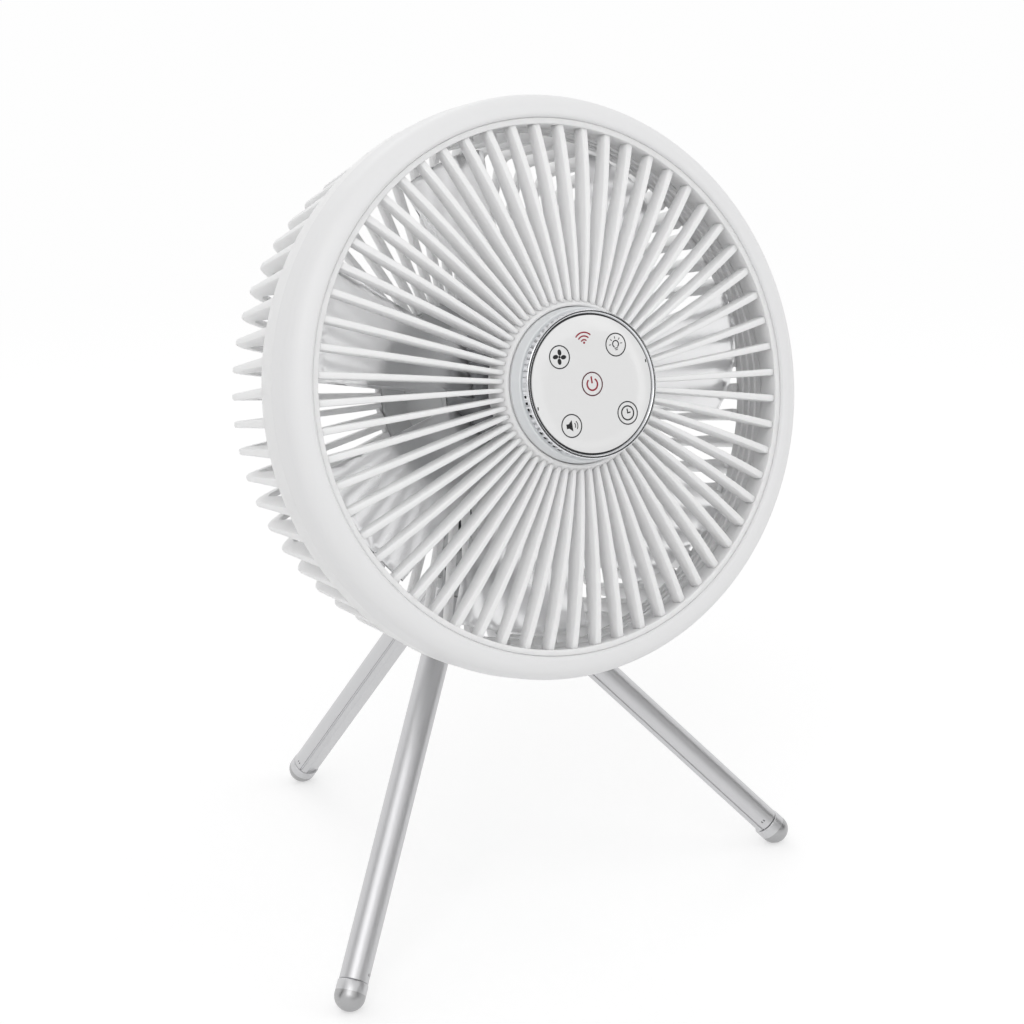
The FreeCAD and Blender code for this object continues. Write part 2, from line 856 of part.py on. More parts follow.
def housing_screws():
    one = screw(screw_r, head_r, head_high, housing_screw_long, -cage_depth, True)
    return Part.makeCompound(ring_of(one, housing_screw_circle, housing_screw_count, housing_screw_turn))


def battery_cells():
    return Part.makeCompound(ring_of(rod(cell_r, cell_back, cell_front), cell_circle, cell_count))


def cell_spacers():
    outer = pod_r - pod_wall - seat_gap
    room = rod(cover_boss_r + seat_gap, pod_back, pod_front)
    rooms = ring_of(room, cover_screw_circle, cell_count, cover_screw_turn)
    plates = [rod(outer, top - spacer_wall, top).cut(rooms) for top in (spacer_front, rear_spacer_front)]
    return Part.makeCompound(plates)


def charge_board():
    outer = pod_r - pod_wall - seat_gap
    room = rod(cover_boss_r + seat_gap, pod_back, pod_front)
    rooms = ring_of(room, cover_screw_circle, cell_count, cover_screw_turn)
    return rod(outer, charge_board_back, charge_board_front).cut(rooms)


def socket_outline(wide, thick, low, high):
    """A slot with half-round ends along X."""
    straight = (wide - thick) / 2
    half = thick / 2
    return upright(
        (-straight, -half),
        (straight, -half),
        ((straight + half, 0), (straight, half)),
        (-straight, half),
        ((-straight - half, 0), (-straight, -half)),
        low=low, high=high,
    )


def charge_socket():
    shell = socket_outline(socket_wide, socket_thick, cover_back, charge_board_back)
    inside = socket_outline(socket_wide - 2 * socket_wall, socket_thick - 2 * socket_wall,
                            cover_back - past, charge_board_back - 2 * socket_wall)
    tongue = block(-socket_wide / 4, socket_wide / 4, -socket_wall, socket_wall,
                   cover_back + past, charge_board_back - socket_wall)
    return shell.cut(inside).fuse(tongue)


def rear_cover():
    cap = lathe(
        (0, cover_front),
        (pod_r, cover_front),
        (pod_r, cover_back + cover_chamfer),
        (pod_r - cover_chamfer, cover_back),
        (0, cover_back),
    )
    window = socket_outline(socket_wide + 2 * fit_gap, socket_thick + 2 * fit_gap,
                            cover_back - past, cover_front + past)
    hole = rod(small_screw_r + thread_play, cover_back - past, cover_front + past)
    pocket = rod(small_head_r + fit_gap, cover_back - past, cover_back + small_head_high)
    holes = ring_of(hole.fuse(pocket), cover_screw_circle, cell_count, cover_screw_turn)
    return cap.cut([window] + holes)


def cover_screws():
    seat = cover_back + small_head_high
    one = screw(small_screw_r, small_head_r, small_head_high, cover_screw_long, seat, True)
    return Part.makeCompound(ring_of(one, cover_screw_circle, cell_count, cover_screw_turn))


def neck():
    """The arm from the pod to the hinge: it cups the pod above and ends in a narrower round knuckle."""
    top = neck_cup - pod_r
    shoulder = neck_clear - hinge_drop
    eye = (-hinge_drop, -hinge_back)
    arm = across(
        (top, neck_front),
        (shoulder + neck_shoulder, neck_front),
        (eye[0], eye[1] + knuckle_r),
        ((eye[0] - knuckle_r, eye[1]), (eye[0], eye[1] - knuckle_r)),
        (shoulder + neck_shoulder, neck_back),
        (top, neck_back),
        wide=neck_wide,
    )
    far = 2 * knuckle_r + neck_clear
    for side in (-1, 1):
        low, high = sorted((side * tongue_wide / 2, side * neck_wide))
        arm = arm.cut(block(low, high, eye[0] - far, shoulder, eye[1] - far, eye[1] + far))
    arm = arm.cut(rod(pod_r + fit_gap, neck_back - past, neck_front + past))
    arm = arm.cut(cross_rod(tilt_bolt_r + hinge_play, -neck_wide, neck_wide, eye[0], eye[1]))
    return arm.cut([neck_screw_hole(x) for x in neck_screw_places()])


# Stand: hub and hinge

def hub_top():
    top = hinge_z + knuckle_r
    body = rod(hub_r, hub_top_back, top)
    sides = across(
        (-hub_r - past, hub_top_back),
        (-hub_r - past, hub_top_front),
        (-knuckle_r, hub_top_front),
        (-knuckle_r, hinge_z),
        ((0, top), (knuckle_r, hinge_z)),
        (knuckle_r, hub_top_front),
        (hub_r + past, hub_top_front),
        (hub_r + past, hub_top_back),
        wide=2 * ear_outside,
    )
    base = rod(hub_r, hub_top_back, hub_top_front)
    ears = body.common(sides).cut(block(-ear_inside, ear_inside, -hub_r, hub_r, hub_top_front, top + past))
    shape = base.fuse(ears)
    shape = shape.cut(cross_rod(tilt_bolt_r + hinge_play, -hub_r, hub_r, 0, hinge_z))
    return shape.cut(rod(hub_screw_r + thread_play, hub_top_back - past, hub_bore_end)).removeSplitter()


def leg_slot():
    """Room for the end of one leg, from straight down to spread."""
    half = leg_tongue_wide / 2 + slot_play
    room = leg_tongue_r + slot_play
    inner = leg_pivot_r - room
    floor = pivot_z - leg_hub_below - past
    slot = block(inner, hub_r + past, -half, half, floor, pivot_z)
    heel = Part.makeCylinder(room, 2 * half, Vector(leg_pivot_r, -half, pivot_z), Vector(0, 1, 0))
    out = block(leg_pivot_r, hub_r + past, -half, half, pivot_z - past, pivot_z + room)
    return slot.multiFuse([heel, out])


def leg_hub():
    low = pivot_z - leg_hub_below
    high = pivot_z + leg_hub_above
    body = lathe(
        (0, low),
        (hub_r - hub_edge, low),
        (hub_r, low + hub_edge),
        (hub_r, high),
        (0, high),
    )
    slots = around(leg_slot(), len(legs), legs["rear"])
    bores = [leg_pin(leg_pin_r + hinge_play / 2, turn, 2 * hub_r) for turn in legs.values()]
    shank_hole = rod(hub_screw_r + thread_play, low - past, high + past)
    head_pocket = rod(hub_head_r + fit_gap, low - past, low + hub_head_high)
    return body.cut(slots).cut(bores).cut([shank_hole, head_pocket])


def leg_pin(radius, turn, long):
    pin = Part.makeCylinder(radius, long, Vector(leg_pivot_r, -long / 2, pivot_z), Vector(0, 1, 0))
    pin.rotate(Vector(), Vector(0, 0, 1), turn)
    return pin


def leg_pins():
    long = 2 * math.sqrt(hub_r ** 2 - (leg_pivot_r + leg_pin_r) ** 2)
    return Part.makeCompound([leg_pin(leg_pin_r, turn, long) for turn in legs.values()])


def hub_screw():
    under_head = pivot_z - leg_hub_below + hub_head_high
    length = hub_bore_end - seat_gap - under_head
    return screw(hub_screw_r, hub_head_r, hub_head_high, length, under_head, True)


def tilt_bolt():
    shank = cross_rod(tilt_bolt_r, -ear_outside, ear_outside + tilt_head_high + past, 0, hinge_z)
    head = cross_rod(tilt_head_r, -ear_outside - tilt_head_high, -ear_outside, 0, hinge_z)
    socket = hexagon(tilt_bolt_r, -ear_outside - tilt_head_high, -ear_outside - tilt_head_high / 2)
    return shank.fuse(head).removeSplitter().cut(socket)


def hexagon(corner_r, low, high):
    points = [arc_point((0, hinge_z), corner_r, 60 * i) for i in range(6)]
    face = outline(points[0], tuple(points[1:]), lambda p: Vector(low, p[0], p[1]))
    return face.extrude(Vector(high - low, 0, 0))


def tilt_nut():
    nut = hexagon(tilt_head_r + nut_flange, ear_outside + fit_gap, ear_outside + fit_gap + tilt_head_high)
    return nut.cut(cross_rod(tilt_bolt_r + hinge_play, 0, 2 * hub_r, 0, hinge_z))


def tilt_washers():
    inner = tongue_wide / 2 + washer_gap
    group = []
    for low in (inner, -inner - washer_wall):
        disc = cross_rod(washer_r, low, low + washer_wall, 0, hinge_z)
        group.append(disc.cut(cross_rod(tilt_bolt_r + hinge_play, low - past, low + 2 * past, 0, hinge_z)))
    return Part.makeCompound(group)


# Legs

def leg_outline(radius, flat, low, high):
    """A round bar with one flat side, the flat towards X."""
    half = math.sqrt(radius ** 2 - flat ** 2)
    return upright((flat, -half), (flat, half), ((-radius, 0), (flat, -half)), low=low, high=high)


def leg_tube():
    bar = leg_outline(leg_r, leg_flat, tube_start, tube_end)
    bore = leg_outline(leg_r - leg_wall, leg_flat - leg_wall, tube_start - past, tube_end + past)
    grooves = []
    for side in (-1, 1):
        half = leg_groove_wide / 2
        groove = block(leg_r - leg_groove_deep, leg_r + past, -half, half, tube_start - past, tube_end + past)
        groove.rotate(Vector(), Vector(0, 0, 1), side * leg_groove_at)
        grooves.append(groove)
    hole = foot_pin_bar(foot_pin_r + hinge_play, 2 * leg_r + 2 * past)
    return bar.cut([bore] + grooves + [hole])


def knuckle():
    half = leg_tongue_wide / 2
    eye = Part.makeCylinder(leg_tongue_r, leg_tongue_wide, Vector(0, -half, 0), Vector(0, 1, 0))
    tongue = block(-leg_tongue_r, leg_tongue_r, -half, half, 0, collar_start + past)
    collar = leg_outline(leg_r, leg_flat, collar_start, collar_start + collar_wall)
    plug = leg_outline(plug_r + plug_gap, plug_r, collar_start + collar_wall - past, tube_start + plug_long)
    bore_start = Vector(0, -half - past, 0)
    bore = Part.makeCylinder(leg_pin_r + hinge_play, leg_tongue_wide + 2 * past, bore_start, Vector(0, 1, 0))
    return eye.multiFuse([tongue, collar, plug]).cut(bore).removeSplitter()


def foot_cap():
    skirt = leg_reach - foot_skirt
    plug = leg_outline(plug_r + plug_gap, plug_r, skirt - plug_long, skirt + past)
    cap = lathe(
        (0, skirt),
        (foot_r, skirt),
        (foot_r, leg_reach),
        (arc_point((0, leg_reach), foot_r, 45), (0, leg_reach + foot_r)),
    )
    return cap.fuse(plug).cut(foot_pin_bar(foot_pin_r + hinge_play / 2, 2 * leg_r + 2 * past))


def foot_pin_bar(radius, long):
    """Across the leg, just above the cap."""
    at = leg_reach - foot_skirt - foot_pin_above
    return Part.makeCylinder(radius, long, Vector(0, -long / 2, at), Vector(0, 1, 0))


def foot_pin():
    return foot_pin_bar(foot_pin_r, 2 * leg_r - leg_wall / 2)


# Placing and writing

def place_head(shape):
    """From the head's own axis to the stand, leaned back about the tilt hinge."""
    placed = shape.copy()
    placed.translate(Vector(0, hinge_drop, hinge_back))
    placed.rotate(Vector(), Vector(1, 0, 0), 90 - tilt_open)
    placed.translate(Vector(0, 0, hinge_z))
    return placed


def place_leg(shape, turn):
    placed = shape.copy()
    placed.rotate(Vector(), Vector(0, 1, 0), 180 - leg_spread)
    placed.translate(Vector(leg_pivot_r, 0, pivot_z))
    placed.rotate(Vector(), Vector(0, 0, 1), turn)
    return placed


head_pieces = (
    rim_ring, front_grille, rear_grille, rim_screws,
    control_housing, control_screws, led_board, led_chips,
    diffuser_ring, chrome_bezel, touch_panel, touch_board,
    motor_base, base_screws, motor_board, stator_core, stator_coils, motor_bearings,
    impeller, rotor_can, rotor_magnet, motor_shaft, impeller_nut,
    battery_housing, housing_screws, battery_cells, cell_spacers, charge_board, charge_socket,
    rear_cover, cover_screws, neck, neck_screws,
)
stand_pieces = (hub_top, leg_hub, hub_screw, leg_pins, tilt_bolt, tilt_nut, tilt_washers)
leg_pieces = (leg_tube, knuckle, foot_cap, foot_pin)


def write(name, shape):
    shape.exportStep(os.path.join("parts", name + ".step"))


os.makedirs("parts", exist_ok=True)
for piece in head_pieces:
    write(piece.__name__, place_head(piece()))
for piece in stand_pieces:
    write(piece.__name__, piece())
for piece in leg_pieces:
    for leg, turn in legs.items():
        write(piece.__name__ + "_" + leg, place_leg(piece(), turn))
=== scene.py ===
import bmesh
import bpy
import json
import math
from mathutils import Matrix, Vector

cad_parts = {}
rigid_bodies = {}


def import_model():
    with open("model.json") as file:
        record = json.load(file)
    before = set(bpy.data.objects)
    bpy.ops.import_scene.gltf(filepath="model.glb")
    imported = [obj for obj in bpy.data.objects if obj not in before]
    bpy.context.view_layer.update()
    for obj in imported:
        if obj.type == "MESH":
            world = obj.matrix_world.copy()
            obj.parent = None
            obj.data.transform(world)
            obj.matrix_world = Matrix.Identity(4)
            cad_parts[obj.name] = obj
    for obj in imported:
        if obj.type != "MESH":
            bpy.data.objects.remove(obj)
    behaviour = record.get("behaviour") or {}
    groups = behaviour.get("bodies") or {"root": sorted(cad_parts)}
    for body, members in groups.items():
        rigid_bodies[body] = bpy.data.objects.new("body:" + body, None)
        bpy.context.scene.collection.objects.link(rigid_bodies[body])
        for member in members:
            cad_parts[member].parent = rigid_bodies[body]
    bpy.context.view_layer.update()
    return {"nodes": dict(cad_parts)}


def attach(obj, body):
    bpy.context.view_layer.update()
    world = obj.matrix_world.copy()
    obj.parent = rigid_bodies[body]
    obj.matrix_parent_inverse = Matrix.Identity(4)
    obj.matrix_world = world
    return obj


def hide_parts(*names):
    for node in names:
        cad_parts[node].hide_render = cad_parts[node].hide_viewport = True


# A portable camping fan on a folding three-legged stand, dressed over its CAD frame.
# Pieces are modelled in millimetres, on the axis of the fan head or of a leg, and then put in place.
# On the head's axis Z points out of the front with 0 at the lip of the guard, and Y points up.

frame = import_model()
print("frame is in")


# places on the object

standPlan = {
    "footRadius": 5.8,
    "legReach": 168.0,
    "legSpread": 42.7,
    "legPivotRadius": 9.0,
    "hingeRise": 18.0,
    "headLean": 15.0,
    "hingeDrop": 50.0,
    "hingeBack": 90.0,
    "standTurn": 8.0,
}
legTurns = {
    "front_left": standPlan["standTurn"] - 150.0,
    "front_right": standPlan["standTurn"] - 30.0,
    "rear": standPlan["standTurn"] + 90.0,
}
toMetres = Matrix.Scale(0.001, 4)


def turnAbout(axis, degrees):
    return Matrix.Rotation(math.radians(degrees), 4, axis)


def headPlace():
    pivot = standPlan["footRadius"] + standPlan["legReach"] * math.cos(math.radians(standPlan["legSpread"]))
    hinge = Matrix.Translation((0, 0, pivot + standPlan["hingeRise"]))
    arm = Matrix.Translation((0, standPlan["hingeDrop"], standPlan["hingeBack"]))
    return toMetres @ hinge @ turnAbout("X", 90 - standPlan["headLean"]) @ arm


def legPlace(leg):
    pivot = standPlan["footRadius"] + standPlan["legReach"] * math.cos(math.radians(standPlan["legSpread"]))
    out = Matrix.Translation((standPlan["legPivotRadius"], 0, pivot))
    return toMetres @ turnAbout("Z", legTurns[leg]) @ out @ turnAbout("Y", 180 - standPlan["legSpread"])


# modelling by hand

def clearSelection():
    bpy.ops.object.select_all(action="DESELECT")


def makeActive(piece):
    clearSelection()
    piece.select_set(True)
    bpy.context.view_layer.objects.active = piece


def startEdit(piece):
    makeActive(piece)
    bpy.ops.object.mode_set(mode="EDIT")
    bpy.ops.mesh.select_mode(type="VERT")


def endEdit():
    bpy.ops.object.mode_set(mode="OBJECT")


def pick(piece, test):
    # selects the vertices whose place passes the test
    bpy.ops.mesh.select_all(action="DESELECT")
    mesh = bmesh.from_edit_mesh(piece.data)
    for vertex in mesh.verts:
        if test(vertex.co):
            vertex.select_set(True)
    mesh.select_flush_mode()
    bmesh.update_edit_mesh(piece.data)


def carry(piece, start, end):
    # of the selected vertices, moves only the one at start
    mesh = bmesh.from_edit_mesh(piece.data)
    held = [vertex for vertex in mesh.verts if vertex.select]
    for vertex in held:
        vertex.select_set((vertex.co - start).length < 0.0005)
    bmesh.update_edit_mesh(piece.data)
    bpy.ops.transform.translate(value=end - start)
    mesh = bmesh.from_edit_mesh(piece.data)
    mesh.verts.ensure_lookup_table()
    for vertex in held:
        vertex.select_set(True)
    mesh.select_flush_mode()
    bmesh.update_edit_mesh(piece.data)


def tidyMesh():
    bpy.ops.mesh.select_all(action="SELECT")
    bpy.ops.mesh.remove_doubles(threshold=0.002)
    bpy.ops.mesh.normals_make_consistent(inside=False)


def arc(centre, radius, start, end, steps):
    # points on an arc in radius and height, both ends included
    points = []
    for i in range(steps + 1):
        turn = math.radians(start + (end - start) * i / steps)
        points.append((centre[0] + radius * math.cos(turn), centre[1] + radius * math.sin(turn)))
    return points


def turned(profile, around=192):
    # a ring or disc: a circle extruded and scaled from point to point of its profile
    radius, height = profile[0]
    bpy.ops.mesh.primitive_circle_add(vertices=around, radius=radius)
    piece = bpy.context.object
    startEdit(piece)
    bpy.ops.mesh.select_all(action="SELECT")
    bpy.ops.transform.translate(value=(0, 0, height))
    for nextRadius, nextHeight in profile[1:]:
        bpy.ops.mesh.extrude_edges_move()
        scale = max(nextRadius, 0.0001) / radius
        bpy.ops.transform.resize(value=(scale, scale, 1), center_override=(0, 0, height))
        bpy.ops.transform.translate(value=(0, 0, nextHeight - height))
        radius, height = max(nextRadius, 0.0001), nextHeight
    bpy.ops.mesh.select_all(action="SELECT")
    bpy.ops.mesh.remove_doubles(threshold=0.002)
    bpy.ops.mesh.fill_holes(sides=0)
    tidyMesh()
    endEdit()
    return piece


def pulledStrip(stations):
    # a flat strip pulled out edge by edge; a station is two points in radius and height
    bpy.ops.mesh.primitive_plane_add(size=1)
    strip = bpy.context.object
    startEdit(strip)
    pick(strip, lambda spot: spot.x > 0)
    bpy.ops.mesh.delete(type="VERT")
    bpy.ops.mesh.select_all(action="SELECT")
    here = [Vector((-0.5, -0.5, 0)), Vector((-0.5, 0.5, 0))]
    for number, station in enumerate(stations):
        if number:
            bpy.ops.mesh.extrude_edges_move()
        there = [Vector((radius, 0, height)) for radius, height in station]
        carry(strip, here[0], there[0])
        carry(strip, here[1], there[1])
        here = there
    endEdit()
    return strip


def addModifier(piece, kind, **settings):
    makeActive(piece)
    modifier = piece.modifiers.new(kind.title(), kind)
    for name, value in settings.items():
        setattr(modifier, name, value)
    bpy.ops.object.modifier_apply(modifier=modifier.name)


def copyOf(piece):
    twin = piece.copy()
    twin.data = piece.data.copy()
    bpy.context.collection.objects.link(twin)
    return twin


def joined(pieces):
    makeActive(pieces[0])
    for piece in pieces:
        piece.select_set(True)
    bpy.ops.object.join()
    return bpy.context.object


def spunRound(piece, count, first=0.0):
    # copies of one shape round the axis, joined into one mesh
    copies = []
    for i in range(count):
        twin = copyOf(piece)
        twin.data.transform(turnAbout("Z", first + 360.0 * i / count))
        copies.append(twin)
    bpy.data.objects.remove(piece)
    return joined(copies)


def settle(piece, name, place, finish, body, replaced=(), angle=35.0):
    # names the piece, puts its place into its mesh and hangs it on its CAD body
    piece.name = name
    piece.data.name = name
    piece.data.transform(place)
    piece.data.materials.clear()
    piece.data.materials.append(finish)
    makeActive(piece)
    bpy.ops.object.shade_smooth_by_angle(angle=math.radians(angle))
    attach(piece, body)
    if replaced:
        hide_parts(*replaced)
    return piece


def refinedCopy(node, edge=0.3):
    # a CAD node's mesh with its flat faces joined again and its sharp edges rounded
    twin = frame["nodes"][node].copy()
    twin.data = twin.data.copy()
    twin.parent = None
    bpy.context.collection.objects.link(twin)
    twin.data.transform(Matrix.Scale(1000.0, 4))
    startEdit(twin)
    bpy.ops.mesh.select_all(action="SELECT")
    bpy.ops.mesh.remove_doubles(threshold=0.002)
    bpy.ops.mesh.dissolve_limited(angle_limit=math.radians(0.6))
    endEdit()
    if edge:
        addModifier(twin, "BEVEL", width=edge, segments=2, limit_method="ANGLE",
                    angle_limit=math.radians(50), use_clamp_overlap=True)
    return twin


print("tools are ready")


# finishes

class Wire:
    # one value in a material; sums and products of wires add their Math nodes
    def __init__(self, tree, socket=None):
        self.tree = tree
        self.socket = socket

    def add(self, kind, settings=None, links=None, out=0):
        node = self.tree.nodes.new(kind)
        for name, value in (settings or {}).items():
            if name == "stops":
                for number, (position, colour) in enumerate(value):
                    ramp = node.color_ramp.elements
                    stop = ramp[number] if number < 2 else ramp.new(position)
                    stop.position = position
                    stop.color = colour
            else:
                setattr(node, name, value)
        for name, value in (links or {}).items():
            if isinstance(value, Wire):
                self.tree.links.new(value.socket, node.inputs[name])
            else:
                node.inputs[name].default_value = value
        return Wire(self.tree, node.outputs[out]) if node.outputs else None

    def maths(self, operation, first, second):
        return self.add("ShaderNodeMath", {"operation": operation}, {0: first, 1: second})

    def __add__(self, other):
        return self.maths("ADD", self, other)

    def __radd__(self, other):
        return self.maths("ADD", other, self)

    def __sub__(self, other):
        return self.maths("SUBTRACT", self, other)

    def __rsub__(self, other):
        return self.maths("SUBTRACT", other, self)

    def __mul__(self, other):
        return self.maths("MULTIPLY", self, other)

    def __rmul__(self, other):
        return self.maths("MULTIPLY", other, self)

    def blendColours(self, first, second):
        return self.add("ShaderNodeMix", {"data_type": "RGBA"}, {0: self, 6: first, 7: second}, out=2)


class Finish:
    # a Principled material under construction
    def __init__(self, name, constants):
        self.material = bpy.data.materials.new(name)
        self.material.use_nodes = True
        self.tree = self.material.node_tree
        self.surface = self.tree.nodes["Principled BSDF"]
        for socket, value in constants.items():
            self.surface.inputs[socket].default_value = value
        self.coords = Wire(self.tree).add("ShaderNodeTexCoord", out="Object")

    def noise(self, scale, detail=2.0, along=None):
        return self.coords.add("ShaderNodeTexNoise", None,
                               {"Vector": along or self.coords, "Scale": scale, "Detail": detail})

    def feed(self, socket, wire):
        self.tree.links.new(wire.socket, self.surface.inputs[socket])

    def bump(self, height, strength, distance):
        self.feed("Normal", height.add("ShaderNodeBump", None,
                                       {"Height": height, "Strength": strength, "Distance": distance}))


def shadeOf(colour, amount):
    return tuple(channel * amount for channel in colour) + (1.0,)


def mouldedPlastic(name, colour, roughness, grain=0.12, change=0.03, **constants):
    # satin moulded plastic: faint clouding, a fine even grain and slightly uneven gloss
    finish = Finish(name, constants)
    cloud = finish.noise(18.0)
    fine = finish.noise(1500.0, 1.0)
    finish.feed("Base Color", cloud.blendColours(shadeOf(colour, 1.0 - change), shadeOf(colour, 1.0)))
    finish.feed("Roughness", roughness + (finish.noise(60.0) - 0.5) * 0.12)
    finish.bump(fine, grain, 0.0002)
    return finish.material


def drawnAluminium(name, place):
    # satin aluminium, drawn lengthwise: long fine streaks along the leg
    settings = {"colour": (0.64, 0.64, 0.65), "roughness": 0.40, "streaks": 900.0}
    finish = Finish(name, {"Metallic": 1.0})
    turn = place.to_euler()
    lengthwise = finish.coords.add("ShaderNodeMapping", {"vector_type": "TEXTURE"},
                                   {"Vector": finish.coords, "Rotation": turn, "Scale": (1.0, 1.0, 60.0)})
    streak = finish.noise(settings["streaks"], 3.0, lengthwise)
    cloud = finish.noise(35.0)
    tone = (0.6 * streak) + (0.4 * cloud)
    darker, lighter = shadeOf(settings["colour"], 0.90), shadeOf(settings["colour"], 1.04)
    finish.feed("Base Color", tone.blendColours(darker, lighter))
    finish.feed("Roughness", settings["roughness"] + (streak - 0.5) * 0.14)
    finish.bump(streak, 0.04, 0.00005)
    return finish.material


def polishedMetal(name, colour, roughness):
    finish = Finish(name, {"Metallic": 1.0})
    haze = finish.noise(90.0, 4.0)
    finish.feed("Base Color", haze.blendColours(shadeOf(colour, 0.94), shadeOf(colour, 1.0)))
    finish.feed("Roughness", roughness + haze * 0.08)
    finish.bump(finish.noise(700.0), 0.03, 0.0001)
    return finish.material


def smokyPlastic(name, colour):
    # half-clear blades
    finish = Finish(name, {"Transmission Weight": 0.90, "IOR": 1.15})
    cloud = finish.noise(25.0)
    finish.feed("Base Color", cloud.blendColours(shadeOf(colour, 0.94), shadeOf(colour, 1.0)))
    finish.feed("Roughness", 0.24 + cloud * 0.10)
    finish.bump(finish.noise(900.0), 0.04, 0.0001)
    return finish.material


def glossPlastic(name, colour, roughness, coat):
    finish = Finish(name, {"Coat Roughness": 0.06})
    cloud = finish.noise(30.0)
    finish.feed("Base Color", cloud.blendColours(shadeOf(colour, 0.98), shadeOf(colour, 1.0)))
    finish.feed("Roughness", roughness + cloud * 0.06)
    finish.feed("Coat Weight", coat + cloud * 0.05)
    finish.bump(finish.noise(400.0), 0.02, 0.0001)
    return finish.material


finGlow = {
    "Subsurface Weight": 0.5,
    "Subsurface Scale": 0.004,
    "Subsurface Radius": (1.0, 1.0, 1.0),
}
finishes = {
    "white": mouldedPlastic("whitePlastic", (0.86, 0.86, 0.865), 0.42),
    # the fins are the rim's white plastic painted lighter, standing in for the brighter light inside the
    # guard: painted light
    "fins": mouldedPlastic("finPlasticPaintedLighter", (0.93, 0.93, 0.932), 0.40, **finGlow),
    "frosted": mouldedPlastic("frostedPlastic", (0.92, 0.94, 0.955), 0.40, change=0.06,
                              **{"Transmission Weight": 0.15}),
    "chrome": polishedMetal("chromeTrim", (0.84, 0.85, 0.87), 0.05),
    "panel": glossPlastic("panelGloss", (0.855, 0.855, 0.855), 0.16, 0.4),
    "smoky": smokyPlastic("smokyPlastic", (0.97, 0.972, 0.978)),
    "hub": mouldedPlastic("hubPlastic", (0.20, 0.205, 0.215), 0.38, change=0.08),
    "grey": mouldedPlastic("greyPlastic", (0.50, 0.505, 0.51), 0.40, change=0.06),
    "cap": polishedMetal("capMetal", (0.46, 0.46, 0.465), 0.30),
    # near-black finish used as painted shade: on the dark ring in the panel's groove and on the floors and
    # walls of the bezel's sound slots
    "paintedShade": mouldedPlastic("paintedShadeRubber", (0.02, 0.02, 0.022), 0.55, change=0.15),
    "dark": mouldedPlastic("darkPlastic", (0.035, 0.037, 0.04), 0.42, change=0.10),
    "steel": polishedMetal("plainSteel", (0.56, 0.57, 0.59), 0.24),
    "darkSteel": polishedMetal("darkSteel", (0.10, 0.10, 0.11), 0.35),
    "board": mouldedPlastic("circuitBoard", (0.02, 0.12, 0.06), 0.30, change=0.20),
    "chip": glossPlastic("ledYellow", (0.80, 0.68, 0.22), 0.25, 0.3),
    "copper": polishedMetal("copperWire", (0.72, 0.36, 0.18), 0.30),
    "magnet": mouldedPlastic("magnetGrey", (0.07, 0.07, 0.075), 0.50, change=0.10),
    "wrap": mouldedPlastic("cellWrap", (0.03, 0.10, 0.30), 0.30, change=0.10),
    "inkDark": mouldedPlastic("inkDark", (0.018, 0.018, 0.02), 0.35, change=0.20),
    "inkRed": mouldedPlastic("inkRed", (0.33, 0.018, 0.035), 0.35, change=0.15),
    "inkMaroon": mouldedPlastic("inkMaroon", (0.10, 0.018, 0.028), 0.35, change=0.15),
}
for leg in legTurns:
    finishes["leg_" + leg] = drawnAluminium("legAluminium_" + leg, legPlace(leg))
print("finishes are ready")


# guard

head = headPlace()
rim = {
    "radius": 105.0,
    "inside": 96.3,
    "crown": 1.2,
    "cornerRadius": 7.0,
    "lipRound": 1.5,
    "back": -15.3,
    "wall": 2.0,
    "lipBack": -8.2,
}


def makeRim():
    corner = (rim["radius"] - rim["cornerRadius"], rim["crown"] - rim["cornerRadius"])
    lip = (rim["inside"] + rim["lipRound"], rim["crown"] - rim["lipRound"])
    inner = rim["radius"] - rim["wall"]
    under = rim["crown"] - rim["wall"]
    profile = [(rim["inside"], rim["lipBack"])]
    profile += arc(lip, rim["lipRound"], 180, 90, 6)
    profile += arc(corner, rim["cornerRadius"], 90, 0, 16)
    profile += [(rim["radius"], rim["back"] + 0.4), (rim["radius"] - 0.4, rim["back"])]
    profile += [(inner, rim["back"]), (inner, corner[1])]
    profile += arc(corner, rim["cornerRadius"] - rim["wall"], 0, 90, 6)
    profile += [(rim["inside"] + rim["wall"], under), (rim["inside"] + rim["wall"], rim["lipBack"])]
    profile += [profile[0]]
    hoop = turned(profile, 256)
    return settle(hoop, "rimHoop", head, finishes["white"], "head", ["rim_ring"])


guard = {
    "fins": 60,
    "opening": 94.0,
    "lipRadius": 96.24,
    "hubRadius": 31.0,
    "hubFrontRadius": 29.2,
    "hubBore": 28.0,
    "hubFront": 15.0,
    "hubDepth": 10.0,
    "finRimWall": 2.6,
    "finHubWall": 1.6,
    "finRound": 0.7,
    "rimFront": -1.2,
    "hubFinFront": 13.8,
    "frontBulge": 2.4,
    "backBulge": 0.9,
    "rimDepth": 5.5,
    "hubDepthOfFin": 8.5,
    "stations": 13,
}


def giveWall(strip, startWall, endWall, share):
    # thickens a strip to both sides, from one wall to another
    most = max(startWall, endWall)
    group = strip.vertex_groups.new(name="wall")
    for vertex in strip.data.vertices:
        wall = startWall + share(vertex.co) * (endWall - startWall)
        group.add([vertex.index], wall / most, "REPLACE")
    addModifier(strip, "SOLIDIFY", thickness=most, offset=0.0, vertex_group="wall")
    strip.vertex_groups.clear()


def roundedFin(fin, width):
    addModifier(fin, "BEVEL", width=width, segments=2, limit_method="ANGLE", angle_limit=math.radians(50))
    startEdit(fin)
    tidyMesh()
    endEdit()
    return fin


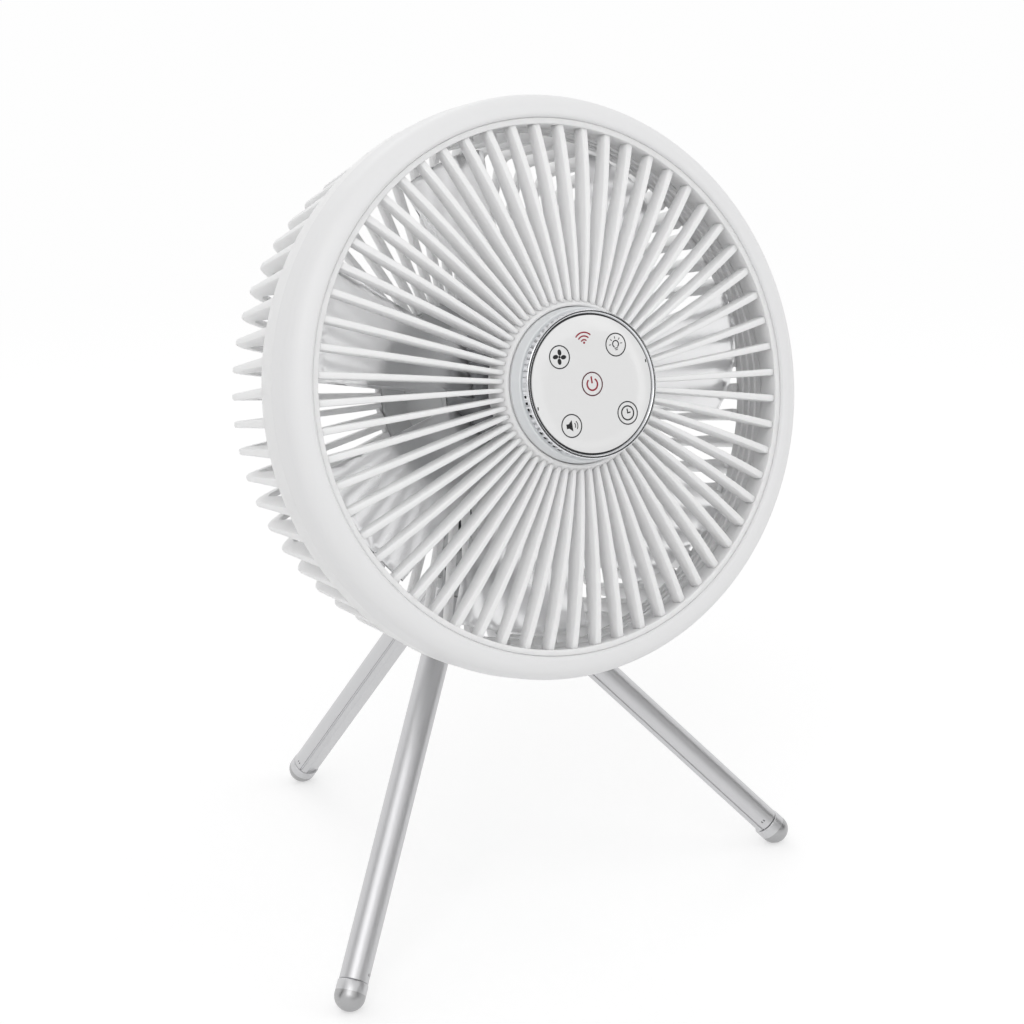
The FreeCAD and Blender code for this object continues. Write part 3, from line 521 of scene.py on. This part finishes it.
def frontFin():
    # outer edge swells forwards between the lip and the hub ring
    outer = guard["opening"] + 0.8
    inner = guard["hubFrontRadius"] - 0.5
    stations = []
    for i in range(guard["stations"]):
        share = i / (guard["stations"] - 1)
        swell = 4 * share * (1 - share)
        radius = outer + share * (inner - outer)
        front = guard["rimFront"] + share * (guard["hubFinFront"] - guard["rimFront"])
        depth = guard["rimDepth"] + share * (guard["hubDepthOfFin"] - guard["rimDepth"])
        stations.append(((radius, front - depth + guard["backBulge"] * swell),
                         (radius, front + guard["frontBulge"] * swell)))
    fin = pulledStrip(stations)
    giveWall(fin, guard["finHubWall"], guard["finRimWall"], lambda spot: (spot.x - inner) / (outer - inner))
    return roundedFin(fin, guard["finRound"])


def makeFrontGuard():
    opening, lip = guard["opening"], guard["lipRadius"]
    lipRing = turned([
        (opening, -10.0), (opening, -0.5), (opening + 0.15, -0.15), (opening + 0.5, 0.0), (lip - 0.3, 0.0),
        (lip, -0.3), (lip, -8.5), (lip + 1.5, -8.5), (lip + 1.5, -10.0), (opening, -10.0),
    ], 256)
    bore, hub, top = guard["hubBore"], guard["hubRadius"], guard["hubFront"]
    hubFront = guard["hubFrontRadius"]
    hubBack = top - guard["hubDepth"]
    hubRing = turned([
        (bore, top - 0.3), (bore + 0.2, top - 0.05), (bore + 0.5, top), (hubFront - 0.4, top),
        (hubFront, top - 0.35), (hub - 0.6, top - 3.2), (hub, top - 4.2), (hub, hubBack),
        (bore - 4.0, hubBack), (bore - 4.0, hubBack + 2.0), (bore, hubBack + 2.0), (bore, top - 0.3),
    ], 128)
    fins = spunRound(frontFin(), guard["fins"])
    piece = joined([lipRing, hubRing, fins])
    return settle(piece, "frontGuard", head, finishes["fins"], "head", ["front_grille"])


cage = {
    "stripRadius": 104.0,
    "depth": 75.0,
    "ductDepth": 26.0,
    "innerRadius": 91.5,
    "innerCorner": 5.0,
    "sideRadius": 103.5,
    "taper": 7.0,
    "corner": 8.0,
    "finDepth": 4.5,
    "rootWall": 3.6,
    "tipWall": 2.2,
    "finRound": 0.65,
    "plateRadius": 36.0,
    "podBore": 26.3,
    "plateWall": 3.0,
    "ductFront": -10.3,
    "steps": (-13.5, -17.5, -21.5),
    "stepHigh": 0.7,
}


def rearFin():
    # down the side of the cage, round its corner and in to the plate, thinner towards the back
    root = -(cage["ductDepth"] - 0.8)
    outside = (cage["sideRadius"] - cage["taper"] - cage["corner"], cage["corner"] - cage["depth"])
    innerCorner = cage["innerCorner"]
    inside = (cage["innerRadius"] - innerCorner, cage["finDepth"] - cage["depth"] + innerCorner)
    slope = math.degrees(math.atan2(cage["taper"], cage["depth"] - cage["corner"] - cage["ductDepth"]))
    outerBend = arc(outside, cage["corner"], -slope, -90, 6)
    innerBend = arc(inside, innerCorner, 0, -90, 6)
    side, sideSteps = cage["sideRadius"], 5
    stations = []
    for i in range(sideSteps):
        share = i / sideSteps
        inner = (cage["innerRadius"], root + share * (innerBend[0][1] - root))
        outer = (side + share * (outerBend[0][0] - side), root + share * (outerBend[0][1] - root))
        stations.append((inner, outer))
    stations += list(zip(innerBend, outerBend))
    for radius in (70.0, 52.0, cage["plateRadius"] - 0.8):
        stations.append(((radius, innerBend[-1][1]), (radius, outerBend[-1][1])))
    fin = pulledStrip(stations)
    giveWall(fin, cage["rootWall"], cage["tipWall"], lambda spot: (spot.z - root) / (-cage["depth"] - root))
    return roundedFin(fin, cage["finRound"])


def makeRearGuard():
    strip, opening, lip = cage["stripRadius"], guard["opening"], guard["lipRadius"]
    low = -cage["ductDepth"]
    front, ridge = cage["ductFront"], opening - cage["stepHigh"]
    profile = [(lip, front), (lip, low + 2.0), (strip - 2.5, low + 2.0), (strip - 2.5, front + 1.0)]
    profile += [(strip - 1.3, front + 1.0), (strip - 1.3, -15.6), (strip - 0.3, -15.6), (strip, -15.9)]
    profile += [(strip, low + 0.5), (strip - 0.5, low), (opening, low)]
    for step in reversed(cage["steps"]):
        profile += [(opening, step - 0.5), (ridge, step - 0.3), (ridge, step + 0.3), (opening, step + 0.5)]
    profile += [(opening, front), (lip, front)]
    collar = turned(profile, 256)
    back, plateFront = -cage["depth"], cage["plateWall"] - cage["depth"]
    bore, plate = cage["podBore"], cage["plateRadius"]
    disc = turned([
        (bore, back), (bore, plateFront), (plate - 0.4, plateFront), (plate, plateFront - 0.4),
        (plate, back + 0.4), (plate - 0.4, back), (bore, back),
    ], 128)
    fins = spunRound(rearFin(), guard["fins"], 180.0 / guard["fins"])
    piece = joined([collar, disc, fins])
    return settle(piece, "rearGuard", head, finishes["fins"], "head", ["rear_grille"])


makeRim()
makeFrontGuard()
makeRearGuard()
print("guard is done")


# light ring and touch panel

light = {
    "radius": 27.7,
    "back": 15.3,
    "front": 20.5,
    "wall": 2.0,
    "taper": 0.7,
}


def makeLightRing():
    radius, back, front = light["radius"], light["back"], light["front"]
    inner, narrow = radius - light["wall"], radius - light["taper"]
    ring = turned([
        (inner, back), (radius - 0.2, back), (radius, back + 0.2), (narrow + 0.05, front - 0.35),
        (narrow - 0.3, front), (inner - light["taper"], front), (inner, back),
    ], 160)
    return settle(ring, "lightRing", head, finishes["frosted"], "head", ["diffuser_ring"])


bezel = {
    "radius": 26.3,
    "back": 20.8,
    "front": 24.57,
    "wall": 1.8,
    "ledge": 1.6,
    "ledgeTop": 22.4,
    "edgeRound": 0.4,
    "flat": 0.5,
    "slotRows": ((188.0, 4), (221.0, 5)),
    "slotPitch": 2.3,
    "slotWide": 1.0,
    "slotHigh": 1.5,
    "slotDeep": 0.7,
}


def soundSlot(degrees):
    middle = bezel["back"] + (bezel["front"] - bezel["back"] - bezel["edgeRound"]) / 2
    bpy.ops.mesh.primitive_cube_add(size=1)
    slot = bpy.context.object
    startEdit(slot)
    bpy.ops.mesh.select_all(action="SELECT")
    bpy.ops.transform.resize(value=(2 * bezel["slotDeep"], bezel["slotWide"], bezel["slotHigh"]))
    bpy.ops.transform.translate(value=(bezel["radius"], 0, middle))
    bpy.ops.mesh.bevel(offset=0.15, segments=2)
    endEdit()
    slot.data.transform(turnAbout("Z", degrees))
    return slot


def makeBezel():
    radius, front, back, turn = bezel["radius"], bezel["front"], bezel["back"], bezel["edgeRound"]
    inner = radius - bezel["wall"]
    profile = [(inner - bezel["ledge"], back), (radius - 0.15, back), (radius, back + 0.15)]
    profile += arc((radius - turn, front - turn), turn, 0, 90, 5)
    profile += arc((radius - bezel["flat"] - turn, front - turn), turn, 90, 150, 4)
    profile += [(inner + 0.15, front - 0.9), (inner, front - 1.1)]
    profile += [(inner, bezel["ledgeTop"]), (inner - bezel["ledge"], bezel["ledgeTop"])]
    profile += [profile[0]]
    ring = turned(profile, 200)
    slots = []
    for middle, count in bezel["slotRows"]:
        step = math.degrees(bezel["slotPitch"] / radius)
        slots += [soundSlot(middle + step * (i - (count - 1) / 2)) for i in range(count)]
    cutter = joined(slots)
    addModifier(ring, "BOOLEAN", object=cutter, operation="DIFFERENCE", solver="EXACT")
    bpy.data.objects.remove(cutter)
    settle(ring, "chromeRing", head, finishes["chrome"], "head", ["chrome_bezel"])
    # the floors and walls of the sound slots get the near-black finish: painted shade in the recesses
    paintFaces(ring, finishes["paintedShade"], head, lambda spot: inSlot(spot, radius))


def inSlot(spot, radius):
    # the floors and walls of the sound slots, painted near-black as shade in the slots
    slack = 0.1
    deepest = radius - bezel["slotDeep"] - slack
    middle = bezel["back"] + (bezel["front"] - bezel["back"] - bezel["edgeRound"]) / 2
    inBand = abs(spot.z - middle) < bezel["slotHigh"] / 2 + slack
    return deepest < spot.xy.length < radius - slack / 2 and inBand


def paintFaces(piece, finish, place, test):
    # gives the faces whose middle passes the test, in the piece's own axis, a second finish
    piece.data.materials.append(finish)
    back = place.inverted()
    for face in piece.data.polygons:
        if test(back @ face.center):
            face.material_index = 1


def makeShadeSeal():
    # a dark ring in the groove between the bright ring and the panel, made as a rubber seal: painted shade
    # of the groove and painted dark reflection at the bright ring's inner edge
    inner = panel["radius"] + 0.02
    outer = bezel["radius"] - bezel["wall"] + 0.25
    back, front = panel["back"], bezel["front"]
    shadeSealRing = turned([
        (inner, back), (outer, back), (outer, front - 1.0), (outer - 0.1, front - 0.9),
        (inner + 0.05, front - 0.75), (inner, front - 0.8), (inner, back),
    ], 160)
    return settle(shadeSealRing, "paintedShadeSeal", head, finishes["paintedShade"], "head")


panel = {
    "radius": 24.2,
    "back": 22.7,
    "front": 24.3,
    "edge": 0.2,
    "ink": 0.06,
}


def makePanel():
    radius, front = panel["radius"], panel["front"]
    disc = turned([
        (radius, panel["back"]), (radius, front - panel["edge"]), (radius - 0.06, front - 0.06),
        (radius - panel["edge"], front), (radius * 0.66, front), (radius * 0.33, front), (0, front),
    ], 160)
    return settle(disc, "touchPanel", head, finishes["panel"], "head", ["touch_panel"])


# printed keys, flat shapes on the panel

def turnBetween(first, second):
    # the angle between two directions, the short way round
    return abs((first - second + math.pi) % (2 * math.pi) - math.pi)


def inkArc(x, y, radius, wide, start=0.0, end=360.0, points=48):
    # part of a flat ring
    bpy.ops.mesh.primitive_circle_add(vertices=points, radius=radius)
    shape = bpy.context.object
    startEdit(shape)
    if end - start < 360.0:
        middle = math.radians((start + end) / 2)
        half = math.radians((end - start) / 2)
        pick(shape, lambda spot: turnBetween(math.atan2(spot.y, spot.x), middle) > half + 0.001)
        bpy.ops.mesh.delete(type="VERT")
    bpy.ops.mesh.select_all(action="SELECT")
    bpy.ops.mesh.extrude_edges_move()
    inner = (radius - wide) / radius
    bpy.ops.transform.resize(value=(inner, inner, 1), center_override=(0, 0, 0))
    bpy.ops.mesh.select_all(action="SELECT")
    bpy.ops.transform.translate(value=(x, y, 0))
    endEdit()
    return shape


def inkDot(x, y, radius, long=None, turn=0.0):
    # a filled disc, or an oval if it has a length
    bpy.ops.mesh.primitive_circle_add(vertices=28, radius=radius, fill_type="NGON")
    shape = bpy.context.object
    startEdit(shape)
    bpy.ops.mesh.select_all(action="SELECT")
    bpy.ops.mesh.inset(thickness=radius * 0.2)
    endEdit()
    stretch = Matrix.Diagonal(((long or radius) / radius, 1.0, 1.0, 1.0))
    shape.data.transform(Matrix.Translation((x, y, 0)) @ turnAbout("Z", turn) @ stretch)
    return shape


def inkBar(x0, y0, x1, y1, wide):
    bpy.ops.mesh.primitive_plane_add(size=1)
    shape = bpy.context.object
    startEdit(shape)
    bpy.ops.mesh.select_all(action="SELECT")
    long = math.hypot(x1 - x0, y1 - y0)
    bpy.ops.transform.resize(value=(long + wide, wide, 1))
    bpy.ops.mesh.bevel(offset=wide * 0.3, segments=2, affect="VERTICES")
    endEdit()
    middle = Matrix.Translation(((x0 + x1) / 2, (y0 + y1) / 2, 0))
    shape.data.transform(middle @ turnAbout("Z", math.degrees(math.atan2(y1 - y0, x1 - x0))))
    return shape


def inkPolygon(points):
    # a filled outline of straight sides
    bpy.ops.mesh.primitive_circle_add(vertices=len(points), radius=1)
    shape = bpy.context.object
    startEdit(shape)
    bpy.ops.mesh.select_all(action="SELECT")
    for i, point in enumerate(points):
        spot = shape.data.vertices[i].co.copy()
        carry(shape, spot, Vector((point[0], point[1], 0)))
    bpy.ops.mesh.edge_face_add()
    endEdit()
    return shape


def powerKey(x, y):
    return [inkArc(x, y - 0.1, 2.4, 0.6, -235, 55), inkBar(x, y + 0.5, x, y + 2.4, 0.6)]


def fanKey(x, y):
    shapes = [inkArc(x, y, 4.2, 0.42), inkDot(x, y, 0.45)]
    for i in range(4):
        turn = 80.0 + 90.0 * i
        away = math.radians(turn)
        shapes.append(inkDot(x + 1.6 * math.cos(away), y + 1.6 * math.sin(away), 0.75, 1.1, turn + 12))
    return shapes


def waveKey(x, y):
    shapes = [inkDot(x, y - 1.6, 0.42)]
    for radius in (1.7, 3.0, 4.3):
        shapes.append(inkArc(x, y - 2.0, radius, 0.5, 42, 138, 60))
    return shapes


def lampKey(x, y):
    shapes = [inkArc(x, y, 4.2, 0.42), inkArc(x, y + 0.25, 1.4, 0.42, -60, 240)]
    shapes.append(inkBar(x - 0.5, y - 1.2, x + 0.5, y - 1.2, 0.35))
    shapes.append(inkBar(x - 0.35, y - 1.8, x + 0.35, y - 1.8, 0.3))
    for degrees in (0, 45, 90, 135, 180):
        (nearX, nearY), (farX, farY) = onPanel(2.0, degrees), onPanel(2.6, degrees)
        shapes.append(inkBar(x + nearX, y + 0.25 + nearY, x + farX, y + 0.25 + farY, 0.28))
    return shapes


def clockKey(x, y):
    shapes = [inkArc(x, y, 4.2, 0.42), inkArc(x, y, 2.7, 0.5)]
    shapes += [inkBar(x, y, x, y + 1.3, 0.45), inkBar(x, y, x + 1.0, y + 0.1, 0.45)]
    return shapes


def soundKey(x, y):
    shapes = [inkArc(x, y, 4.2, 0.42)]
    shapes.append(inkPolygon([
        (x - 2.1, y - 0.8), (x - 1.1, y - 0.8), (x + 0.3, y - 2.0),
        (x + 0.3, y + 2.0), (x - 1.1, y + 0.8), (x - 2.1, y + 0.8),
    ]))
    shapes.append(inkArc(x + 0.2, y, 1.5, 0.32, -42, 42))
    shapes.append(inkArc(x + 0.2, y, 2.4, 0.32, -42, 42))
    return shapes


def printInk(shapes, name, finish):
    piece = joined(shapes)
    piece.data.transform(Matrix.Translation((0, 0, panel["front"])))
    addModifier(piece, "SOLIDIFY", thickness=panel["ink"], offset=0.0)
    startEdit(piece)
    bpy.ops.mesh.select_all(action="SELECT")
    bpy.ops.mesh.normals_make_consistent(inside=False)
    endEdit()
    return settle(piece, name, head, finish, "head")


def onPanel(radius, degrees):
    return (radius * math.cos(math.radians(degrees)), radius * math.sin(math.radians(degrees)))


def makeKeys():
    dark = fanKey(*onPanel(16.0, 135)) + lampKey(*onPanel(17.0, 45))
    dark += clockKey(*onPanel(17.5, -45)) + soundKey(*onPanel(17.0, -130))
    for degrees in (192, 11):
        x, y = onPanel(panel["radius"] - 0.6, degrees)
        dark.append(inkBar(x, y - 0.35, x, y + 0.35, 0.45))
    printInk(dark, "darkKeys", finishes["inkDark"])
    red = powerKey(0, 0) + waveKey(*onPanel(16.3, 92))
    printInk(red, "redKeys", finishes["inkRed"])
    printInk([inkArc(0, 0, 4.3, 0.45)], "powerRing", finishes["inkMaroon"])


makeLightRing()
makeBezel()
makePanel()
makeShadeSeal()
makeKeys()
print("panel is done")


# impeller, pod and neck

def dressCopy(node, name, finish, body, place=toMetres, edge=0.3, angle=35.0):
    return settle(refinedCopy(node, edge), name, place, finish, body, [node], angle)


wheel = {
    "hubRadius": 27.0,
}


def makeWheel():
    # the hub is grey and closed, the blades are half clear
    wheelCopy = refinedCopy("impeller", 0.0)
    toHead = head.inverted() @ toMetres
    startEdit(wheelCopy)
    pick(wheelCopy, lambda spot: (toHead @ spot).xy.length > wheel["hubRadius"] + 0.2)
    bpy.ops.mesh.select_more()
    bpy.ops.mesh.separate(type="SELECTED")
    endEdit()
    blades = [piece for piece in bpy.context.selected_objects if piece != wheelCopy][0]
    for part, name, finish in ((wheelCopy, "wheelHub", "hub"), (blades, "wheelBlades", "smoky")):
        settle(part, name, toMetres, finishes[finish], "impeller_group", ["impeller"])


makeWheel()
dressCopy("battery_housing", "podShell", finishes["grey"], "head", edge=0.0)
dressCopy("rear_cover", "podCover", finishes["grey"], "head", edge=0.0)
dressCopy("neck", "neckArm", finishes["dark"], "head", edge=0.5)
dressCopy("hub_top", "hubUpper", finishes["grey"], "yoke", edge=0.4)
dressCopy("leg_hub", "hubLower", finishes["grey"], "stand", edge=0.0)
print("inner pieces are done")


# legs

legSizes = {
    "radius": 5.5,
    "flat": 4.6,
    "grooveAt": 62.5,
    "grooveHalf": 3.0,
    "grooveDeep": 0.45,
    "start": 10.15,
    "end": 162.85,
    "edge": 0.3,
    "sides": 144,
}
pinSizes = {
    "radius": 0.9,
    "reach": 5.49,
    "edge": 0.2,
    "at": 159.5,
}
footSizes = {
    "radius": 5.8,
    "skirt": 163.0,
    "dome": 168.0,
    "domeBand": 0.9,
    "edge": 0.35,
}


def inGroove(spot):
    around = abs(math.degrees(math.atan2(spot.y, spot.x)))
    return abs(around - legSizes["grooveAt"]) < legSizes["grooveHalf"]


def makeLeg(leg):
    # a round tube with one flat side and a fine groove to each side of the flat
    bpy.ops.mesh.primitive_circle_add(vertices=legSizes["sides"], radius=legSizes["radius"])
    tube = bpy.context.object
    startEdit(tube)
    pick(tube, lambda spot: spot.x > legSizes["flat"])
    bpy.ops.transform.resize(value=(0, 1, 1), center_override=(legSizes["flat"], 0, 0))
    pick(tube, inGroove)
    deep = 1 - legSizes["grooveDeep"] / legSizes["radius"]
    bpy.ops.transform.resize(value=(deep, deep, 1), center_override=(0, 0, 0))
    bpy.ops.mesh.select_all(action="SELECT")
    start, end, edge = legSizes["start"], legSizes["end"], legSizes["edge"]
    narrow = 1 - edge / legSizes["radius"]
    bpy.ops.transform.resize(value=(narrow, narrow, 1), center_override=(0, 0, 0))
    bpy.ops.transform.translate(value=(0, 0, start))
    height = start
    for nextHeight, scale in ((start + edge, 1 / narrow), (end - edge, 1), (end, narrow)):
        bpy.ops.mesh.extrude_edges_move()
        bpy.ops.transform.resize(value=(scale, scale, 1), center_override=(0, 0, height))
        bpy.ops.transform.translate(value=(0, 0, nextHeight - height))
        height = nextHeight
    bpy.ops.mesh.select_all(action="SELECT")
    bpy.ops.mesh.fill_holes(sides=0)
    tidyMesh()
    endEdit()
    body = "leg_" + leg
    place, replaced = legPlace(leg), ["leg_tube_" + leg]
    settle(tube, "legTube_" + leg, place, finishes[body], body, replaced, 30.0)


def makePin(leg):
    # the pin through the tube that holds the foot cap, with rounded edges
    reach, radius, edge = pinSizes["reach"], pinSizes["radius"], pinSizes["edge"]
    nearEnd = [(radius - edge, -reach), (radius, edge / 2 - reach)]
    farEnd = [(radius, reach - edge / 2), (radius - edge, reach)]
    pin = turned(nearEnd + farEnd, 28)
    pin.data.transform(Matrix.Translation((0, 0, pinSizes["at"])) @ turnAbout("X", 90))
    body = "leg_" + leg
    settle(pin, "footPin_" + leg, legPlace(leg), finishes["darkSteel"], body, ["foot_pin_" + leg])


def makeFoot(leg):
    # a satin collar that ends in a smoother, darker dome
    radius, skirt, edge, dome = (footSizes[name] for name in ("radius", "skirt", "edge", "dome"))
    seam = dome - footSizes["domeBand"]
    profile = [(radius - edge, skirt), (radius - 0.1, skirt + 0.1), (radius, skirt + edge), (radius, seam)]
    profile += arc((0, dome), radius, 0, 90, 16)
    cap = turned(profile, 96)
    body, place = "leg_" + leg, legPlace(leg)
    settle(cap, "footDome_" + leg, place, finishes[body], body, ["foot_cap_" + leg], 50.0)
    paintFaces(cap, finishes["cap"], place, lambda spot: spot.z > seam)


for leg in legTurns:
    makeLeg(leg)
    makeFoot(leg)
    makePin(leg)
    dressCopy("knuckle_" + leg, "legKnuckle_" + leg, finishes["grey"], "leg_" + leg, edge=0.0)
print("legs are done")


# finishes of the CAD nodes that stay on show

nodeFinishes = {
    "steel": ["rim_screws", "control_screws", "base_screws", "housing_screws", "cover_screws", "neck_screws",
              "hub_screw", "stator_core", "motor_bearings", "rotor_can", "motor_shaft", "charge_socket",
              "leg_pins", "tilt_bolt", "tilt_nut"],
    "white": ["control_housing"],
    "grey": ["motor_base", "impeller_nut"],
    "dark": ["cell_spacers", "tilt_washers"],
    "board": ["led_board", "touch_board", "motor_board", "charge_board"],
    "chip": ["led_chips"],
    "copper": ["stator_coils"],
    "magnet": ["rotor_magnet"],
    "wrap": ["battery_cells"],
}


def dressNode(node, finish):
    mesh = frame["nodes"][node]
    if not mesh.material_slots:
        mesh.data.materials.append(finish)
    for spot in mesh.material_slots:
        spot.material = finish


for finishName, nodes in nodeFinishes.items():
    for node in nodes:
        dressNode(node, finishes[finishName])
print("CAD nodes are dressed")


# floor, light and camera

studio = {
    "floorSize": 14.0,
    "floorGlow": 0.480,
    "floorColour": 0.60,
    "farGlow": 0.99,
    "fadeStart": 0.45,
    "fadeEnd": 1.10,
    "floorBounce": 0.85,
    "skyLight": 0.74,
}
lamps = {
    "key": {"at": (-0.9, -1.3, 1.5), "size": 1.2, "power": 7.4},
    "fill": {"at": (1.5, -1.0, 0.9), "size": 1.4, "power": 3.4},
    "back": {"at": (0.3, 1.4, 1.3), "size": 1.0, "power": 3.0},
}


def seenDirectly(wire):
    # 1 for rays from the camera and for what shows in metal and glass
    paths = wire.tree.nodes.new("ShaderNodeLightPath")
    kinds = ("Is Camera Ray", "Is Glossy Ray", "Is Transmission Ray")
    camera, glossy, through = (Wire(wire.tree, paths.outputs[kind]) for kind in kinds)
    return wire.maths("MAXIMUM", wire.maths("MAXIMUM", camera, glossy), through)


def makeFloor():
    bpy.ops.mesh.primitive_plane_add(size=studio["floorSize"])
    floor = bpy.context.object
    floor.name = "floor"
    material = bpy.data.materials.new("floorWhite")
    material.use_nodes = True
    tree = material.node_tree
    tree.nodes.clear()
    wire = Wire(tree)
    glow = wire.add("ShaderNodeEmission", None, {"Strength": studio["floorGlow"]})
    veil = wire.add("ShaderNodeBsdfDiffuse", None, {"Color": (studio["floorColour"],) * 3 + (1.0,)})
    near = wire.add("ShaderNodeAddShader", None, {0: glow, 1: veil})
    far = wire.add("ShaderNodeEmission", None, {"Strength": studio["farGlow"]})
    coords = wire.add("ShaderNodeTexCoord", out="Object")
    away = wire.add("ShaderNodeVectorMath", {"operation": "LENGTH"}, {0: coords}, out="Value")
    fade = wire.add("ShaderNodeMapRange", {"interpolation_type": "SMOOTHSTEP"},
                    {"Value": away, "From Min": studio["fadeStart"], "From Max": studio["fadeEnd"]})
    shown = wire.add("ShaderNodeMixShader", None, {0: fade, 1: near, 2: far})
    bounce = wire.add("ShaderNodeBsdfDiffuse", None, {"Color": (studio["floorBounce"],) * 3 + (1.0,)})
    mixed = wire.add("ShaderNodeMixShader", None, {0: seenDirectly(wire), 1: bounce, 2: shown})
    wire.add("ShaderNodeOutputMaterial", None, {"Surface": mixed})
    floor.data.materials.append(material)


def makeSky():
    world = bpy.data.worlds.new("studio")
    bpy.context.scene.world = world
    world.use_nodes = True
    world.node_tree.nodes.clear()
    wire = Wire(world.node_tree)
    white = (1.0, 1.0, 1.0, 1.0)
    light = wire.add("ShaderNodeBackground", None, {"Color": white, "Strength": studio["skyLight"]})
    shown = wire.add("ShaderNodeBackground", None, {"Color": white, "Strength": 1.0})
    mixed = wire.add("ShaderNodeMixShader", None, {0: seenDirectly(wire), 1: light, 2: shown})
    wire.add("ShaderNodeOutputWorld", None, {"Surface": mixed})


def makeLamp(name, at, size, power):
    bpy.ops.object.light_add(type="AREA", location=at)
    lamp = bpy.context.object
    lamp.name = name
    lamp.data.size = size
    lamp.data.energy = power
    lamp.rotation_euler = (Vector((0, -0.03, 0.17)) - Vector(at)).to_track_quat("-Z", "Y").to_euler()


cards = {
    "rightCard": {"at": (0.80, -0.50, 0.30), "wide": 0.45, "high": 1.4},
    "leftCard": {"at": (-0.90, 0.15, 0.35), "wide": 0.25, "high": 1.4},
    "topCard": {"at": (0.10, -0.45, 0.95), "wide": 0.90, "high": 0.22},
    "lowCard": {"at": (0.10, -0.85, 0.05), "wide": 1.20, "high": 0.10},
    "panelCard": {"at": (0.43, -0.88, 0.354), "wide": 0.40, "high": 0.34},
}


def makeCard(name, at, wide, high):
    # a dark card that only shows as a reflection in bright metal
    bpy.ops.mesh.primitive_plane_add(size=1)
    card = bpy.context.object
    card.name = name
    facing = (Vector((0, -0.03, 0.2)) - Vector(at)).to_track_quat("Z", "Y").to_matrix().to_4x4()
    card.data.transform(Matrix.Translation(at) @ facing @ Matrix.Diagonal((wide, high, 1.0, 1.0)))
    material = bpy.data.materials.new("cardGrey")
    material.use_nodes = True
    material.node_tree.nodes["Principled BSDF"].inputs["Base Color"].default_value = (0.05, 0.05, 0.05, 1.0)
    card.data.materials.append(material)
    card.visible_camera = False
    card.visible_diffuse = False
    card.visible_shadow = False


shot = {
    "azimuth": 30.1,
    "elevation": 18.1,
    "distance": 1.001,
    "roll": -2.0,
    "lens": 97.88,
    "middle": (0.0, -0.0711, 0.2074),
    "right": -0.0164,
    "up": -0.0340,
}


def makeCamera():
    around, above = math.radians(shot["azimuth"]), math.radians(shot["elevation"])
    level = math.cos(above)
    ahead = Vector((math.sin(around) * level, math.cos(around) * level, -math.sin(above)))
    right = ahead.cross(Vector((0, 0, 1))).normalized()
    up = right.cross(ahead)
    aim = Vector(shot["middle"]) + right * shot["right"] + up * shot["up"]
    roll = math.radians(shot["roll"])
    side = right * math.cos(roll) + up * math.sin(roll)
    top = up * math.cos(roll) - right * math.sin(roll)
    bpy.ops.object.camera_add(location=aim - ahead * shot["distance"])
    camera = bpy.context.object
    camera.rotation_euler = Matrix((side, top, -ahead)).transposed().to_euler()
    camera.data.lens = shot["lens"]
    camera.data.sensor_width = 36.0
    bpy.context.scene.camera = camera


makeFloor()
makeSky()
for name, lamp in lamps.items():
    makeLamp(name, **lamp)
for name, card in cards.items():
    makeCard(name, **card)
makeCamera()
bpy.context.scene.view_settings.view_transform = "Standard"
print("studio is ready")
